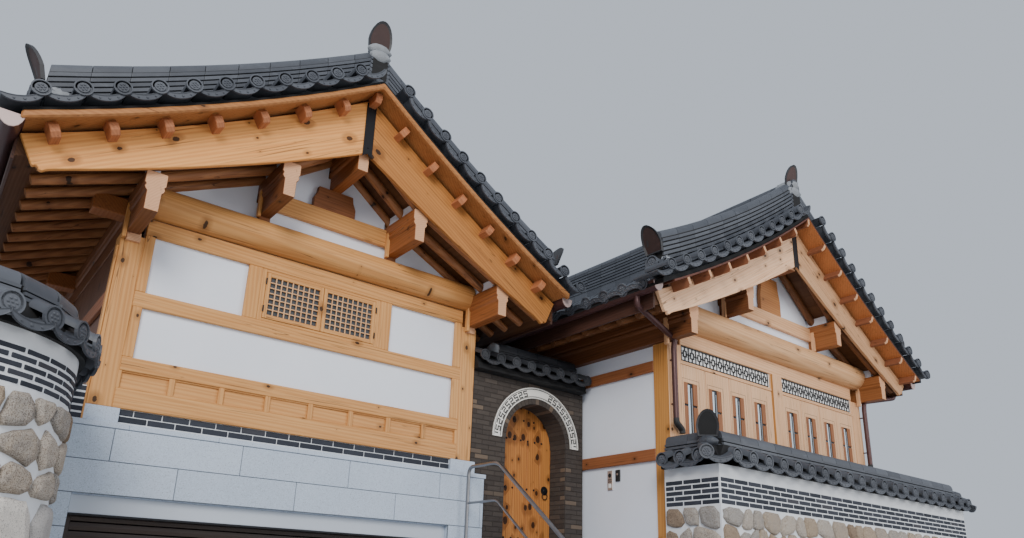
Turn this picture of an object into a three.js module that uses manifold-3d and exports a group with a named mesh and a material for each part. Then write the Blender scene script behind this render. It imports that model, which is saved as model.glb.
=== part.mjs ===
// A traditional timber house with two gabled wings, an arched brick gate between them and low
// street walls. Millimetres, +X to the right along the street front, +Y away from the street, +Z up.
// The origin is on the ground, below the middle of the gate, in the gate wall's front face.
import * as THREE from "three";
import { mergeVertices } from "three/addons/utils/BufferGeometryUtils.js";
import Module from "manifold-3d";

const wasm = await Module();
wasm.setup();

// Driving dimensions
const GAP = 0.3;
const REAR_FACE = 5140;
const INFILL_SETBACK = 40;
const WALL_THICKNESS = 100;
const CURVE_STEPS = 8;
const KNOT = 370;
const BED_LIFT = 40;
const PURLIN = { width: 180, height: 210, supportWidth: 120, supportHeight: 165, setback: 62 };
const BOARD_THICKNESS = 45;
const VERGE_OUT = 300;
const VERGE_RISE = 60;
const TILE_BED = 160;
const RIDGE_WIDTH = 240;
const BRACKET_PITCH = 485;

// The wings: middle, half width over the posts, front face, post size and the roof's heights
const LEFT = {
  name: "left",
  middle: -3075,
  half: 2015,
  front: -60,
  post: 205,
  postBottom: 2976,
  wallBottom: 2976,
  postTop: 4590,
  lintelBottom: 4624,
  beam: { radius: 160, height: 4960 },
  midBeam: { bottom: 5285, top: 5490 },
  eavePurlin: { out: 1925, top: 4965 },
  midPurlin: { out: 750, top: 5540 },
  ridgePurlinTop: 6115,
  overhang: 691,
  boardApex: 6580,
  boardSlopes: [0.693, 0.729],
  footApex: 5930,
  footSlopes: [0.551, 0.597],
  boardReach: [2960, 2673],
  tileReach: [3040, 2760],
  ridgeRise: 670,
  sideRails: [
    [2976, 3154],
    [3315, 3443],
    [3921, 4067],
  ],
};
const RIGHT = {
  name: "right",
  middle: 3121,
  half: 2315,
  front: -1500,
  post: 240,
  postBottom: 300,
  wallBottom: 300,
  postTop: 4540,
  lintelBottom: 4555,
  beam: { radius: 190, height: 4935 },
  midBeam: { bottom: 5285, top: 5490 },
  eavePurlin: { out: 2305, top: 4915 },
  midPurlin: { out: 1100, top: 5520 },
  ridgePurlinTop: 6405,
  overhang: 477,
  boardApex: 6700,
  boardSlopes: [0.722, 0.752],
  footApex: 6080,
  footSlopes: [0.59, 0.597],
  boardReach: [3034, 2898],
  tileReach: [3260, 3020],
  ridgeRise: 760,
  sideRails: [
    [3095, 3240],
    [4200, 4340],
  ],
};

// The podium under the left wing and its garage opening
const PODIUM = { left: -5500, right: -880, front: -100, rear: 5180, top: 2789, wall: 350 };
const GARAGE = { left: -5060, right: -1348, top: 2230, headerBottom: 2060 };
const COPING_TOP = 2836;
const BLOCK_TOP = 3004;

// The gate between the wings
const GATE = { left: -1060, right: 805, depth: 300, top: 4100, radius: 500, spring: 3345 };
const SILL = 1960;
const RISERS = 11;
const TREAD = 225;
const LANDING = 730;
const STEPS = { left: -1200, right: 630 };
const BAND = { inner: 570, outer: 711, proud: 18 };
const GATE_ROOF = { eave: 200, rise: 470, edge: 90 };
const LEAF = { half: 540, front: 310, thickness: 50, clear: 10, hingeX: -525 };
const PULL = { x: 410, height: 2808, plate: 55, ring: 42, bar: 7 };
const HANDRAIL = { x: -1160, top: 2885, lower: 2480, radius: 20, slopeEnd: -2700 };

// The garden wall before the right wing and the rounded street wall at the left
const GARDEN = { left: 655, right: 6800, front: -2272, wall: 250, top: 2940, ridge: 3320 };
const STREET = { centreX: -6340, centreY: -1057, radius: 1000, straight: 1400, top: 3025, ridge: 3405 };
const STREET_REAR = PODIUM.front - 20 - GAP;
const COPING = { overhang: 110, edge: 70 };

// Colours
const COLOURS = {
  timber: new THREE.Color(0.66, 0.42, 0.22),
  shadedTimber: new THREE.Color(0.36, 0.18, 0.1),
  plaster: new THREE.Color(0.8, 0.82, 0.84),
  granite: new THREE.Color(0.63, 0.66, 0.7),
  tile: new THREE.Color(0.19, 0.21, 0.24),
  brick: new THREE.Color(0.2, 0.19, 0.19),
  rubble: new THREE.Color(0.68, 0.62, 0.55),
  door: new THREE.Color(0.62, 0.36, 0.14),
  iron: new THREE.Color(0.05, 0.05, 0.05),
  steel: new THREE.Color(0.6, 0.6, 0.6),
  shutter: new THREE.Color(0.12, 0.09, 0.08),
  band: new THREE.Color(0.75, 0.73, 0.7),
};

const house = new THREE.Group();

// Shapes and joins

function merged(geometry) {
  const bare = geometry.index ? geometry.toNonIndexed() : geometry.clone();
  bare.deleteAttribute("normal");
  bare.deleteAttribute("uv");
  return mergeVertices(bare, 1e-3);
}

function solid(geometry) {
  const g = merged(geometry);
  return new wasm.Manifold(
    new wasm.Mesh({
      numProp: 3,
      vertProperties: g.attributes.position.array,
      triVerts: new Uint32Array(g.index.array),
    }),
  );
}

function geometryOf(made) {
  const mesh = made.getMesh();
  const geometry = new THREE.BufferGeometry();
  geometry.setAttribute("position", new THREE.BufferAttribute(mesh.vertProperties, 3));
  geometry.setIndex(new THREE.BufferAttribute(mesh.triVerts, 1));
  return geometry.toNonIndexed();
}

function box(x0, x1, y0, y1, z0, z1) {
  const geometry = new THREE.BoxGeometry(x1 - x0, y1 - y0, z1 - z0);
  geometry.translate((x0 + x1) / 2, (y0 + y1) / 2, (z0 + z1) / 2);
  return solid(geometry);
}

function outline(points) {
  return new THREE.Shape(points.map(([a, b]) => new THREE.Vector2(a, b)));
}

function extruded(shape, depth) {
  return new THREE.ExtrudeGeometry(shape, { depth, bevelEnabled: false, curveSegments: CURVE_STEPS });
}

// An outline in X and Z, carried along Y
function alongY(points, y0, y1) {
  const geometry = extruded(outline(points), y1 - y0);
  geometry.rotateX(Math.PI / 2);
  geometry.translate(0, y1, 0);
  return solid(geometry);
}

// An outline in Y and Z, carried along X
function alongX(points, x0, x1) {
  const geometry = extruded(outline(points), x1 - x0);
  geometry.rotateZ(Math.PI / 2);
  geometry.rotateY(Math.PI / 2);
  geometry.translate(x0, 0, 0);
  return solid(geometry);
}

// An outline in X and Y, carried up Z
function alongZ(shape, z0, z1) {
  const geometry = extruded(shape, z1 - z0);
  geometry.translate(0, 0, z0);
  return solid(geometry);
}

function rod(from, to, radius, sides = 8) {
  const a = new THREE.Vector3(...from);
  const b = new THREE.Vector3(...to);
  const geometry = new THREE.CylinderGeometry(radius, radius, a.distanceTo(b), sides);
  geometry.applyQuaternion(
    new THREE.Quaternion().setFromUnitVectors(
      new THREE.Vector3(0, 1, 0),
      b.clone().sub(a).normalize(),
    ),
  );
  const middle = a.clone().add(b).multiplyScalar(0.5);
  geometry.translate(middle.x, middle.y, middle.z);
  return solid(geometry);
}

function join(pieces) {
  return pieces.reduce((whole, piece) => whole.add(piece));
}

function place(name, made, colour, roughness = 0.8, metalness = 0) {
  const material = new THREE.MeshStandardMaterial({ color: COLOURS[colour], roughness, metalness });
  const mesh = new THREE.Mesh(geometryOf(made), material);
  mesh.name = name;
  house.add(mesh);
}

// Roof lines of a wing, by the distance out from its ridge. Each is straight between its knots,
// so that bodies laid on one another meet in the same planes.

const BOARD_CURVE = 4e-5;
const FOOT_CURVE = 3e-5;

function knotted(curve) {
  return (out) => {
    const low = Math.floor(out / KNOT) * KNOT;
    const share = (out - low) / KNOT;
    return curve(low) * (1 - share) + curve(low + KNOT) * share;
  };
}

function boardTop(wing, side) {
  const slope = wing.boardSlopes[side];
  return knotted((out) => wing.boardApex - slope * out + BOARD_CURVE * out * out);
}

function boardFoot(wing, side) {
  const slope = wing.footSlopes[side];
  return knotted((out) => wing.footApex - slope * out + FOOT_CURVE * out * out);
}

function purlinLine(wing, out) {
  const { eavePurlin, midPurlin, ridgePurlinTop } = wing;
  if (out <= midPurlin.out)
    return ridgePurlinTop + ((midPurlin.top - ridgePurlinTop) * out) / midPurlin.out;
  const fall = (midPurlin.top - eavePurlin.top) / (eavePurlin.out - midPurlin.out);
  return midPurlin.top - fall * (out - midPurlin.out);
}

// The lower side of the boards, clear of the purlins' square tops
function bedFoot(wing, side) {
  const foot = boardFoot(wing, side);
  return knotted((out) => {
    const clear = Math.max(0, out - PURLIN.width / 2);
    return Math.max(foot(out) + BED_LIFT, purlinLine(wing, clear)) + GAP;
  });
}

// Points of a roof line from one eave over the ridge to the other
function roofLine(wing, heightOn, rise, reach) {
  const points = [];
  for (const side of [0, 1]) {
    const height = heightOn(wing, side);
    const outs = [];
    for (let out = 0; out < reach[side] - 1; out += KNOT) outs.push(out);
    outs.push(reach[side]);
    const way = side === 0 ? -1 : 1;
    const half = outs.map((out) => [wing.middle + way * out, height(out) + rise]);
    if (side === 0) points.push(...half.reverse());
    else points.push(...half.slice(1));
  }
  return points;
}

function between(lower, upper) {
  return [...lower, ...[...upper].reverse()];
}

function verges(wing) {
  const front = wing.front - wing.overhang;
  const rear = REAR_FACE + wing.overhang;
  return { front, rear, frontTile: front - VERGE_OUT, rearTile: rear + VERGE_OUT };
}

// The timber skin of a gable wall: posts, rails and studs as one flat frame
function gableFrame(wing, atFront, rails, studs, hole) {
  const outer = atFront ? wing.front : REAR_FACE - wing.post;
  const face = atFront
    ? [wing.front, wing.front + INFILL_SETBACK]
    : [REAR_FACE - INFILL_SETBACK, REAR_FACE];
  const left = wing.middle - wing.half;
  const right = wing.middle + wing.half;
  const pieces = [
    box(left, left + wing.post, outer, outer + wing.post, wing.postBottom, wing.postTop),
    box(right - wing.post, right, outer, outer + wing.post, wing.postBottom, wing.postTop),
  ];
  for (const [z0, z1] of rails)
    pieces.push(box(left + wing.post - 1, right - wing.post + 1, ...face, z0, z1));
  for (const [x0, x1, z0, z1] of studs) pieces.push(box(x0, x1, ...face, z0, z1));
  const whole = join(pieces);
  return hole ? whole.subtract(box(hole[0], hole[1], face[0] - 1, face[1] + 1, hole[2], hole[3])) : whole;
}

// The plaster slab of a gable, from its foot up to the boards, notched round the purlins
function gableWall(wing, atFront, holes) {
  const y0 = atFront
    ? wing.front + INFILL_SETBACK + GAP
    : REAR_FACE - INFILL_SETBACK - GAP - WALL_THICKNESS;
  const inner = wing.half - wing.post - GAP;
  const shoulder = roofLine(wing, bedFoot, -2 * GAP, [inner, inner]);
  const foot = wing.wallBottom + GAP;
  const corners = [
    [wing.middle - inner, foot],
    [wing.middle + inner, foot],
  ];
  let wall = alongY([...corners, ...[...shoulder].reverse()], y0, y0 + WALL_THICKNESS);
  for (const [x0, x1, z0, z1] of holes)
    wall = wall.subtract(box(x0, x1, y0 - 1, y0 + WALL_THICKNESS + 1, z0, z1));
  const { midPurlin, ridgePurlinTop } = wing;
  for (const [out, top] of [
    [-midPurlin.out, midPurlin.top],
    [0, ridgePurlinTop],
    [midPurlin.out, midPurlin.top],
  ]) {
    const x = wing.middle + out;
    const shelf = top - PURLIN.height - GAP;
    const y = [y0 - 1, y0 + WALL_THICKNESS + 1];
    for (const [width, foot] of [
      [PURLIN.width, shelf],
      [PURLIN.supportWidth, shelf - PURLIN.supportHeight],
    ])
      wall = wall.subtract(
        box(x - width / 2 - GAP, x + width / 2 + GAP, ...y, foot, wing.boardApex + 500),
      );
  }
  return wall;
}

function sideWall(wing, side) {
  const outer = wing.middle + side * (wing.half - INFILL_SETBACK - GAP);
  const inner = outer - side * WALL_THICKNESS;
  return box(
    Math.min(outer, inner),
    Math.max(outer, inner),
    wing.front + wing.post + GAP,
    REAR_FACE - wing.post - GAP,
    wing.wallBottom + GAP,
    wing.postTop - GAP,
  );
}

function sideFrame(wing, side) {
  const outer = wing.middle + side * wing.half;
  const inner = outer - side * INFILL_SETBACK;
  const x = [Math.min(outer, inner), Math.max(outer, inner)];
  const y = [wing.front + wing.post + GAP, REAR_FACE - wing.post - GAP];
  const middle = (y[0] + y[1]) / 2;
  const pieces = wing.sideRails.map(([z0, z1]) => box(...x, ...y, z0, z1));
  pieces.push(
    box(...x, middle - wing.post / 2, middle + wing.post / 2, wing.postBottom, wing.postTop - GAP),
  );
  return join(pieces);
}

// Purlins, beams and king posts, framed together
function roofFrame(wing) {
  const y0 = wing.front - wing.overhang + PURLIN.setback;
  const y1 = REAR_FACE + (wing.front - y0);
  const purlinAt = (out, top) => [
    box(
      wing.middle + out - PURLIN.width / 2,
      wing.middle + out + PURLIN.width / 2,
      y0,
      y1,
      top - PURLIN.height,
      top,
    ),
    box(
      wing.middle + out - PURLIN.supportWidth / 2,
      wing.middle + out + PURLIN.supportWidth / 2,
      y0 + PURLIN.width / 3,
      y1 - PURLIN.width / 3,
      top - PURLIN.height - PURLIN.supportHeight,
      top - PURLIN.height + 1,
    ),
  ];
  const { eavePurlin, midPurlin, ridgePurlinTop, beam, midBeam } = wing;
  const pieces = [];
  for (const side of [-1, 1]) {
    pieces.push(...purlinAt(side * eavePurlin.out, eavePurlin.top));
    pieces.push(...purlinAt(side * midPurlin.out, midPurlin.top));
  }
  pieces.push(...purlinAt(0, ridgePurlinTop));
  const ridgeFoot = ridgePurlinTop - PURLIN.height - PURLIN.supportHeight;
  for (const atFront of [true, false]) {
    const inward = atFront ? 1 : -1;
    const face = atFront ? wing.front : REAR_FACE;
    const axis = face + inward * (INFILL_SETBACK - 40);
    const reach = eavePurlin.out - PURLIN.supportWidth / 2 + 1;
    const log = rod(
      [wing.middle - reach, axis, beam.height],
      [wing.middle + reach, axis, beam.height],
      beam.radius,
      12,
    );
    const behind = [face + inward * (INFILL_SETBACK - GAP), face + inward * 1000].sort((a, b) => a - b);
    const low = beam.height - beam.radius - 1;
    const high = beam.height + beam.radius + 1;
    const cut = [wing.middle - reach - 1, wing.middle + reach + 1];
    pieces.push(log.subtract(box(...cut, ...behind, low, high)));
    const beamFace = [face - inward * 20, face + inward * (INFILL_SETBACK - GAP)];
    const y = [Math.min(...beamFace), Math.max(...beamFace)];
    const span = midPurlin.out - PURLIN.supportWidth / 2 + 1;
    pieces.push(box(wing.middle - span, wing.middle + span, ...y, midBeam.bottom, midBeam.top));
    for (const side of [-1, 1]) {
      const x = wing.middle + side * midPurlin.out;
      const strut = [beam.height, midPurlin.top - PURLIN.height - 1];
      pieces.push(box(x - PURLIN.supportWidth / 2, x + PURLIN.supportWidth / 2, ...y, ...strut));
    }
    pieces.push(
      alongY(
        [
          [wing.middle - 250, midBeam.top - 1],
          [wing.middle + 250, midBeam.top - 1],
          [wing.middle + 130, ridgeFoot + 1],
          [wing.middle - 130, ridgeFoot + 1],
        ],
        ...y,
      ),
    );
  }
  const reach = wing.half + PURLIN.width;
  const sky = [
    [wing.middle + reach, wing.boardApex + 500],
    [wing.middle - reach, wing.boardApex + 500],
  ];
  const over = [...roofLine(wing, bedFoot, -GAP, [reach, reach]), ...sky];
  return join(pieces).subtract(alongY(over, y0 - 1, y1 + 1));
}

// Boards, rafters and fill of both slopes as one bed
function roofBed(wing) {
  const { front, rear } = verges(wing);
  const low = roofLine(wing, bedFoot, 0, wing.boardReach);
  const high = roofLine(wing, boardTop, VERGE_RISE - GAP, wing.boardReach);
  return alongY(between(low, high), front + BOARD_THICKNESS + GAP, rear - BOARD_THICKNESS - GAP);
}

function roofTiles(wing) {
  const { frontTile, rearTile } = verges(wing);
  const low = roofLine(wing, boardTop, VERGE_RISE, wing.tileReach);
  const high = roofLine(wing, boardTop, VERGE_RISE + TILE_BED, wing.tileReach);
  return alongY(between(low, high), frontTile, rearTile);
}

function bargeboards(wing, atFront) {
  const { front, rear } = verges(wing);
  const y0 = atFront ? front : rear - BOARD_THICKNESS;
  const cut = 180;
  const low = roofLine(wing, boardFoot, 0, wing.boardReach.map((reach) => reach - cut));
  const high = roofLine(wing, boardTop, 1, wing.boardReach);
  return alongY(between(low, high), y0, y0 + BOARD_THICKNESS);
}

// The short joists on a bargeboard and the board that they carry out under the verge tiles
function vergeBoard(wing, atFront) {
  const { front, rear, frontTile, rearTile } = verges(wing);
  const y = atFront ? [frontTile, front + BOARD_THICKNESS] : [rear - BOARD_THICKNESS, rearTile];
  const thin = 20;
  const under = VERGE_RISE - thin;
  let made = alongY(
    between(
      roofLine(wing, boardTop, under, wing.boardReach),
      roofLine(wing, boardTop, VERGE_RISE - GAP, wing.boardReach),
    ),
    ...y,
  );
  const half = 28;
  for (const side of [0, 1]) {
    const way = side === 0 ? -1 : 1;
    const height = boardTop(wing, side);
    for (let out = side * BRACKET_PITCH; out < wing.boardReach[side] - half; out += BRACKET_PITCH) {
      const foot = [out - half, out + half].map((at) => [
        wing.middle + way * at,
        height(Math.abs(at)),
      ]);
      const head = foot.map(([x, z]) => [x, z + under + 1]);
      const ring = between(foot, head);
      made = made.add(alongY(side === 0 ? ring.reverse() : ring, ...y));
    }
  }
  return made;
}

// The ridge of a wing and the four that run down its verges
function ridges(wing) {
  const { frontTile, rearTile } = verges(wing);
  const base = VERGE_RISE + TILE_BED + GAP;
  const inset = 200;
  const ends = [frontTile + inset, rearTile - inset - RIDGE_WIDTH];
  const half = RIDGE_WIDTH / 2;
  const crown = wing.boardApex + wing.ridgeRise;
  const foot = roofLine(wing, boardTop, base, [half, half]);
  const top = [
    [wing.middle - half, crown],
    [wing.middle + half, crown],
  ];
  let made = alongY(between(foot, top), ends[0], ends[1] + RIDGE_WIDTH);
  const reach = wing.tileReach.map((out) => out - 60);
  const low = roofLine(wing, boardTop, base, reach);
  const high = roofLine(wing, boardTop, wing.ridgeRise - 20, reach);
  for (const y of ends) made = made.add(alongY(between(low, high), y, y + RIDGE_WIDTH));
  return made;
}

function buildRoof(wing) {
  place(`${wing.name}_roof_frame`, roofFrame(wing), "timber");
  place(`${wing.name}_roof_boards`, roofBed(wing), "shadedTimber");
  place(`${wing.name}_roof_tiles`, roofTiles(wing), "tile");
  place(`${wing.name}_ridges`, ridges(wing), "tile");
  for (const [name, atFront] of [
    ["front", true],
    ["rear", false],
  ]) {
    const boards = bargeboards(wing, atFront).add(vergeBoard(wing, atFront));
    place(`${wing.name}_${name}_bargeboards`, boards, "timber");
  }
}

// The left wing's walls

const LEFT_JAMBS = [-4866, -4796, -3896, -3757, -2394, -2245, -1366, -1284];
const LEFT_WINDOW = { x0: -3757, x1: -2394, z0: 4067, z1: 4624 };

function buildLeftWalls() {
  const wing = LEFT;
  const [p0, p1, s0, s1, s2, s3, p2, p3] = LEFT_JAMBS;
  const rails = [...wing.sideRails, [wing.lintelBottom, 4790]];
  const studs = [
    [p0, p1, 3443, 4624],
    [p2, p3, 3443, 4624],
    [s0, s1, 4066, 4625],
    [s2, s3, 4066, 4625],
  ];
  const { x0, x1, z0, z1 } = LEFT_WINDOW;
  for (const [name, atFront] of [
    ["front", true],
    ["rear", false],
  ]) {
    place(`left_${name}_frame`, gableFrame(wing, atFront, rails, studs), "timber");
    place(
      `left_${name}_wall`,
      gableWall(wing, atFront, [[x0 + 20, x1 - 20, z0 + 20, z1 - 20]]),
      "plaster",
    );
    const y0 = atFront ? wing.front + 5 : REAR_FACE - 5 - 34;
    place(`left_${name}_window`, latticeWindow(x0 + GAP, x1 - GAP, y0, z0 + GAP, z1 - GAP), "timber");
  }
  for (const [name, side] of [
    ["west", -1],
    ["east", 1],
  ]) {
    place(`left_${name}_wall`, sideWall(wing, side), "plaster");
    place(`left_${name}_frame`, sideFrame(wing, side), "timber");
  }
}

// A pair of leaves in their frame, each with one pane opening
function latticeWindow(x0, x1, y0, z0, z1) {
  const thickness = 34;
  const rim = 60;
  let made = box(x0, x1, y0, y0 + thickness, z0, z1);
  const middle = (x0 + x1) / 2;
  for (const [a, b] of [
    [x0 + rim * 2, middle - rim],
    [middle + rim, x1 - rim * 2],
  ])
    made = made.subtract(box(a, b, y0 - 1, y0 + thickness / 2, z0 + rim, z1 - rim));
  return made;
}

// The right wing's walls

const RIGHT_WINDOWS = [
  { x0: 1046, x1: 3008, z0: 3240, z1: 4555 },
  { x0: 3234, x1: 5196, z0: 3240, z1: 4555 },
];

function casements(x0, x1, y0, z0, z1) {
  const thickness = 34;
  const leaves = 4;
  const slot = { width: 214, bottom: 110, top: 475 };
  const transom = { bottom: 207, top: 4 };
  let made = box(x0, x1, y0, y0 + thickness, z0, z1);
  const pitch = (x1 - x0) / leaves;
  for (let i = 0; i < leaves; i += 1) {
    const middle = x0 + pitch * (i + 0.5);
    const half = slot.width / 2;
    made = made.subtract(
      box(middle - half, middle + half, y0 - 1, y0 + thickness / 2, z0 + slot.bottom, z1 - slot.top),
    );
  }
  return made.subtract(
    box(x0 + 20, x1 - 20, y0 - 1, y0 + thickness / 2, z1 - transom.bottom, z1 - transom.top),
  );
}

function buildRightWalls() {
  const wing = RIGHT;
  const rails = [
    [3095, 3240],
    [4555, 4744],
  ];
  const mid = [wing.middle - 112, wing.middle + 112, 300, 4556];
  for (const [name, atFront] of [
    ["front", true],
    ["rear", false],
  ]) {
    place(`right_${name}_frame`, gableFrame(wing, atFront, rails, [mid]), "timber");
    const holes = RIGHT_WINDOWS.map(({ x0, x1, z0, z1 }) => [x0 + 40, x1 - 40, z0 + 40, z1 - 40]);
    place(`right_${name}_wall`, gableWall(wing, atFront, holes), "plaster");
    const y0 = atFront ? wing.front + 5 : REAR_FACE - 5 - 34;
    RIGHT_WINDOWS.forEach(({ x0, x1, z0, z1 }, i) => {
      const made = casements(x0 + GAP, x1 - GAP, y0, z0 + GAP, z1 - GAP);
      place(`right_${name}_casements_${i + 1}`, made, "timber");
    });
  }
  for (const [name, side] of [
    ["west", -1],
    ["east", 1],
  ]) {
    place(`right_${name}_wall`, sideWall(wing, side), "plaster");
    place(`right_${name}_frame`, sideFrame(wing, side), "timber");
  }
}

// The podium, the floors and the plinths

function buildBases() {
  const p = PODIUM;
  const ceiling = p.top - 250;
  const podium = box(p.left, p.right, p.front, p.rear, 0, p.top)
    .subtract(box(p.left + p.wall, p.right - p.wall, p.front + p.wall, p.rear - p.wall, -1, ceiling))
    .subtract(box(GARAGE.left, GARAGE.right, p.front - 1, p.front + p.wall + 1, -1, GARAGE.top));
  const header = box(
    GARAGE.left - 1,
    GARAGE.right + 1,
    p.front + 60,
    p.front + 120,
    GARAGE.headerBottom,
    GARAGE.top + 1,
  );
  place("podium", podium.add(header), "granite");
  place(
    "podium_coping",
    box(p.left, p.right + 20, p.front - 20, p.rear + 20, p.top + GAP, COPING_TOP),
    "granite",
  );
  const opening = [GARAGE.left + GAP, GARAGE.right - GAP];
  place(
    "garage_shutter",
    box(...opening, p.front + 130, p.front + 170, 0, GARAGE.top - GAP),
    "shutter",
    0.5,
    0.4,
  );
  const left = LEFT;
  const blocks = [];
  const blockHalf = 170;
  for (const side of [-1, 1])
    for (const y of [left.front + left.post / 2, REAR_FACE - left.post / 2]) {
      const x = left.middle + side * (left.half - left.post / 2);
      const reach = [y - left.post / 2 - 8, y + left.post / 2 + 8];
      blocks.push(
        box(x - blockHalf, x + blockHalf, ...reach, COPING_TOP + GAP, left.postBottom - GAP),
      );
    }
  const deck = box(
    left.middle - left.half + 20,
    left.middle + left.half - 20,
    left.front + 20,
    REAR_FACE - 20,
    COPING_TOP + GAP,
    left.wallBottom - GAP,
  );
  place("left_floor", join([deck, ...blocks]), "brick");

  const right = RIGHT;
  const plinth = box(
    right.middle - right.half - 15,
    right.middle + right.half + 15,
    right.front - 15,
    REAR_FACE + 15,
    0,
    right.postBottom - GAP,
  );
  const clear = right.post;
  const hollow = box(
    right.middle - right.half + clear,
    right.middle + right.half - clear,
    right.front + clear,
    REAR_FACE - clear,
    -1,
    right.postBottom + 1,
  );
  place("right_plinth", plinth.subtract(hollow), "granite");
  const inset = INFILL_SETBACK + WALL_THICKNESS + 2 * GAP;
  const corner = right.post - inset + GAP;
  let floor = box(
    right.middle - right.half + inset,
    right.middle + right.half - inset,
    right.front + inset,
    REAR_FACE - inset,
    2945,
    3090,
  );
  for (const side of [-1, 1])
    for (const [face, inward] of [
      [right.front, 1],
      [REAR_FACE, -1],
    ]) {
      const x = right.middle + side * (right.half - inset - corner / 2);
      const y = face + inward * (inset + corner / 2);
      floor = floor.subtract(
        box(x - corner / 2 - 1, x + corner / 2 + 1, y - corner / 2 - 1, y + corner / 2 + 1, 2900, 3100),
      );
    }
  place("right_floor", floor, "timber");
}

// The gate: wall, arch band, roof, steps and door

function archOutline(half, spring, foot, reach = 0) {
  const shape = new THREE.Shape();
  shape.moveTo(-half, foot);
  shape.lineTo(half, foot);
  shape.lineTo(half, spring);
  shape.absarc(0, spring, half, 0, Math.PI, false);
  shape.lineTo(-half, foot - reach);
  return shape;
}

function archSolid(half, foot, y0, y1) {
  const geometry = extruded(archOutline(half, GATE.spring, foot), y1 - y0);
  geometry.rotateX(Math.PI / 2);
  geometry.translate(0, y1, 0);
  return solid(geometry);
}

function buildGate() {
  const g = GATE;
  const pierTop = g.spring;
  const leftPier = alongY(
    [
      [-g.radius, 0],
      [-g.radius, pierTop],
      [g.left + GAP, pierTop],
      [g.left + GAP, BLOCK_TOP + GAP],
      [-977, BLOCK_TOP + GAP],
      [-977, COPING_TOP + GAP],
      [PODIUM.right + 20 + GAP, COPING_TOP + GAP],
      [PODIUM.right + 20 + GAP, PODIUM.top - 1],
      [PODIUM.right + GAP, PODIUM.top - 1],
      [PODIUM.right + GAP, 0],
    ].reverse(),
    0,
    g.depth,
  );
  const besidePlinth = g.right - 15;
  place("gate_wall_left", leftPier, "brick");
  const rightPier = box(g.radius, besidePlinth, 0, g.depth, 0, pierTop).add(
    box(g.radius, g.right - GAP, 0, g.depth, RIGHT.postBottom + 1, pierTop),
  );
  place("gate_wall_right", rightPier, "brick");
  const head = box(g.left + GAP, g.right - GAP, 0, g.depth, pierTop + GAP, g.top).subtract(
    archSolid(g.radius, pierTop - 100, -1, g.depth + 1),
  );
  place("gate_wall_head", head, "brick");
  const band = archSolid(BAND.outer, g.spring - 1, -BAND.proud, -GAP).subtract(
    archSolid(BAND.inner, g.spring - 200, -BAND.proud - 1, 1),
  );
  const bandFoot = box(-1000, 1000, -100, 10, 0, g.spring);
  place("gate_arch_band", band.subtract(bandFoot), "band");

  const middle = g.depth / 2;
  const reach = middle + GATE_ROOF.eave;
  const roof = alongX(
    [
      [middle - reach, g.top + GAP],
      [middle + reach, g.top + GAP],
      [middle + reach, g.top + GATE_ROOF.edge],
      [middle + 90, g.top + GATE_ROOF.rise - 110],
      [middle + 90, g.top + GATE_ROOF.rise],
      [middle - 90, g.top + GATE_ROOF.rise],
      [middle - 90, g.top + GATE_ROOF.rise - 110],
      [middle - reach, g.top + GATE_ROOF.edge],
    ],
    g.left + GAP,
    g.right - 60,
  );
  place("gate_roof", roof, "tile");

  const riser = SILL / RISERS;
  const profile = [
    [-GAP, 0],
    [-GAP, SILL],
    [-LANDING, SILL],
  ];
  for (let i = 1; i < RISERS; i += 1) {
    profile.push([-LANDING - (i - 1) * TREAD, SILL - i * riser]);
    profile.push([-LANDING - i * TREAD, SILL - i * riser]);
  }
  profile.push([-LANDING - (RISERS - 1) * TREAD, 0]);
  const wingFront = RIGHT.front - 15 - GAP;
  const flight = alongX([...profile].reverse(), STEPS.left, besidePlinth)
    .subtract(box(STEPS.right, g.right, -5000, wingFront, -1, SILL + 1));
  const podiumNotch = box(-2000, PODIUM.right + GAP, PODIUM.front - 20 - GAP, 100, -1, SILL + 1);
  const sill = box(-g.radius + GAP, g.radius - GAP, -1, g.depth, 0, SILL);
  place("gate_steps", flight.subtract(podiumNotch).add(sill), "granite");
  place(
    "gate_passage_floor",
    box(PODIUM.right + GAP, besidePlinth, g.depth + GAP, REAR_FACE - 40, SILL - 150, SILL),
    "granite",
  );

  const leafFoot = SILL + LEAF.clear;
  const y0 = LEAF.front;
  const y1 = y0 + LEAF.thickness;
  const pin = rod(
    [LEAF.hingeX, (y0 + y1) / 2, SILL + GAP],
    [LEAF.hingeX, (y0 + y1) / 2, leafFoot + 5],
    14,
    12,
  );
  place("gate_door", archSolid(LEAF.half, leafFoot, y0, y1).add(pin), "door");
  const plate = rod([PULL.x, y0 - 12, PULL.height], [PULL.x, y0 - GAP, PULL.height], PULL.plate, 16);
  const ringShape = new THREE.TorusGeometry(PULL.ring, PULL.bar, 6, 16);
  ringShape.rotateX(Math.PI / 2);
  ringShape.translate(PULL.x, y0 - 14, PULL.height - PULL.plate - 18);
  place("gate_door_pull", plate.add(solid(ringShape)), "iron", 0.5, 0.8);
  const frameTop = g.spring + LEAF.half + 30;
  const post = (x0, x1) => box(x0, x1, g.depth + GAP, g.depth + 100, SILL + GAP, frameTop);
  const headBeam = box(-720, 720, g.depth + GAP, g.depth + 100, frameTop - 1, frameTop + 120);
  place("gate_door_frame", join([post(-720, -600), post(600, 720), headBeam]), "timber");
}

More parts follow.
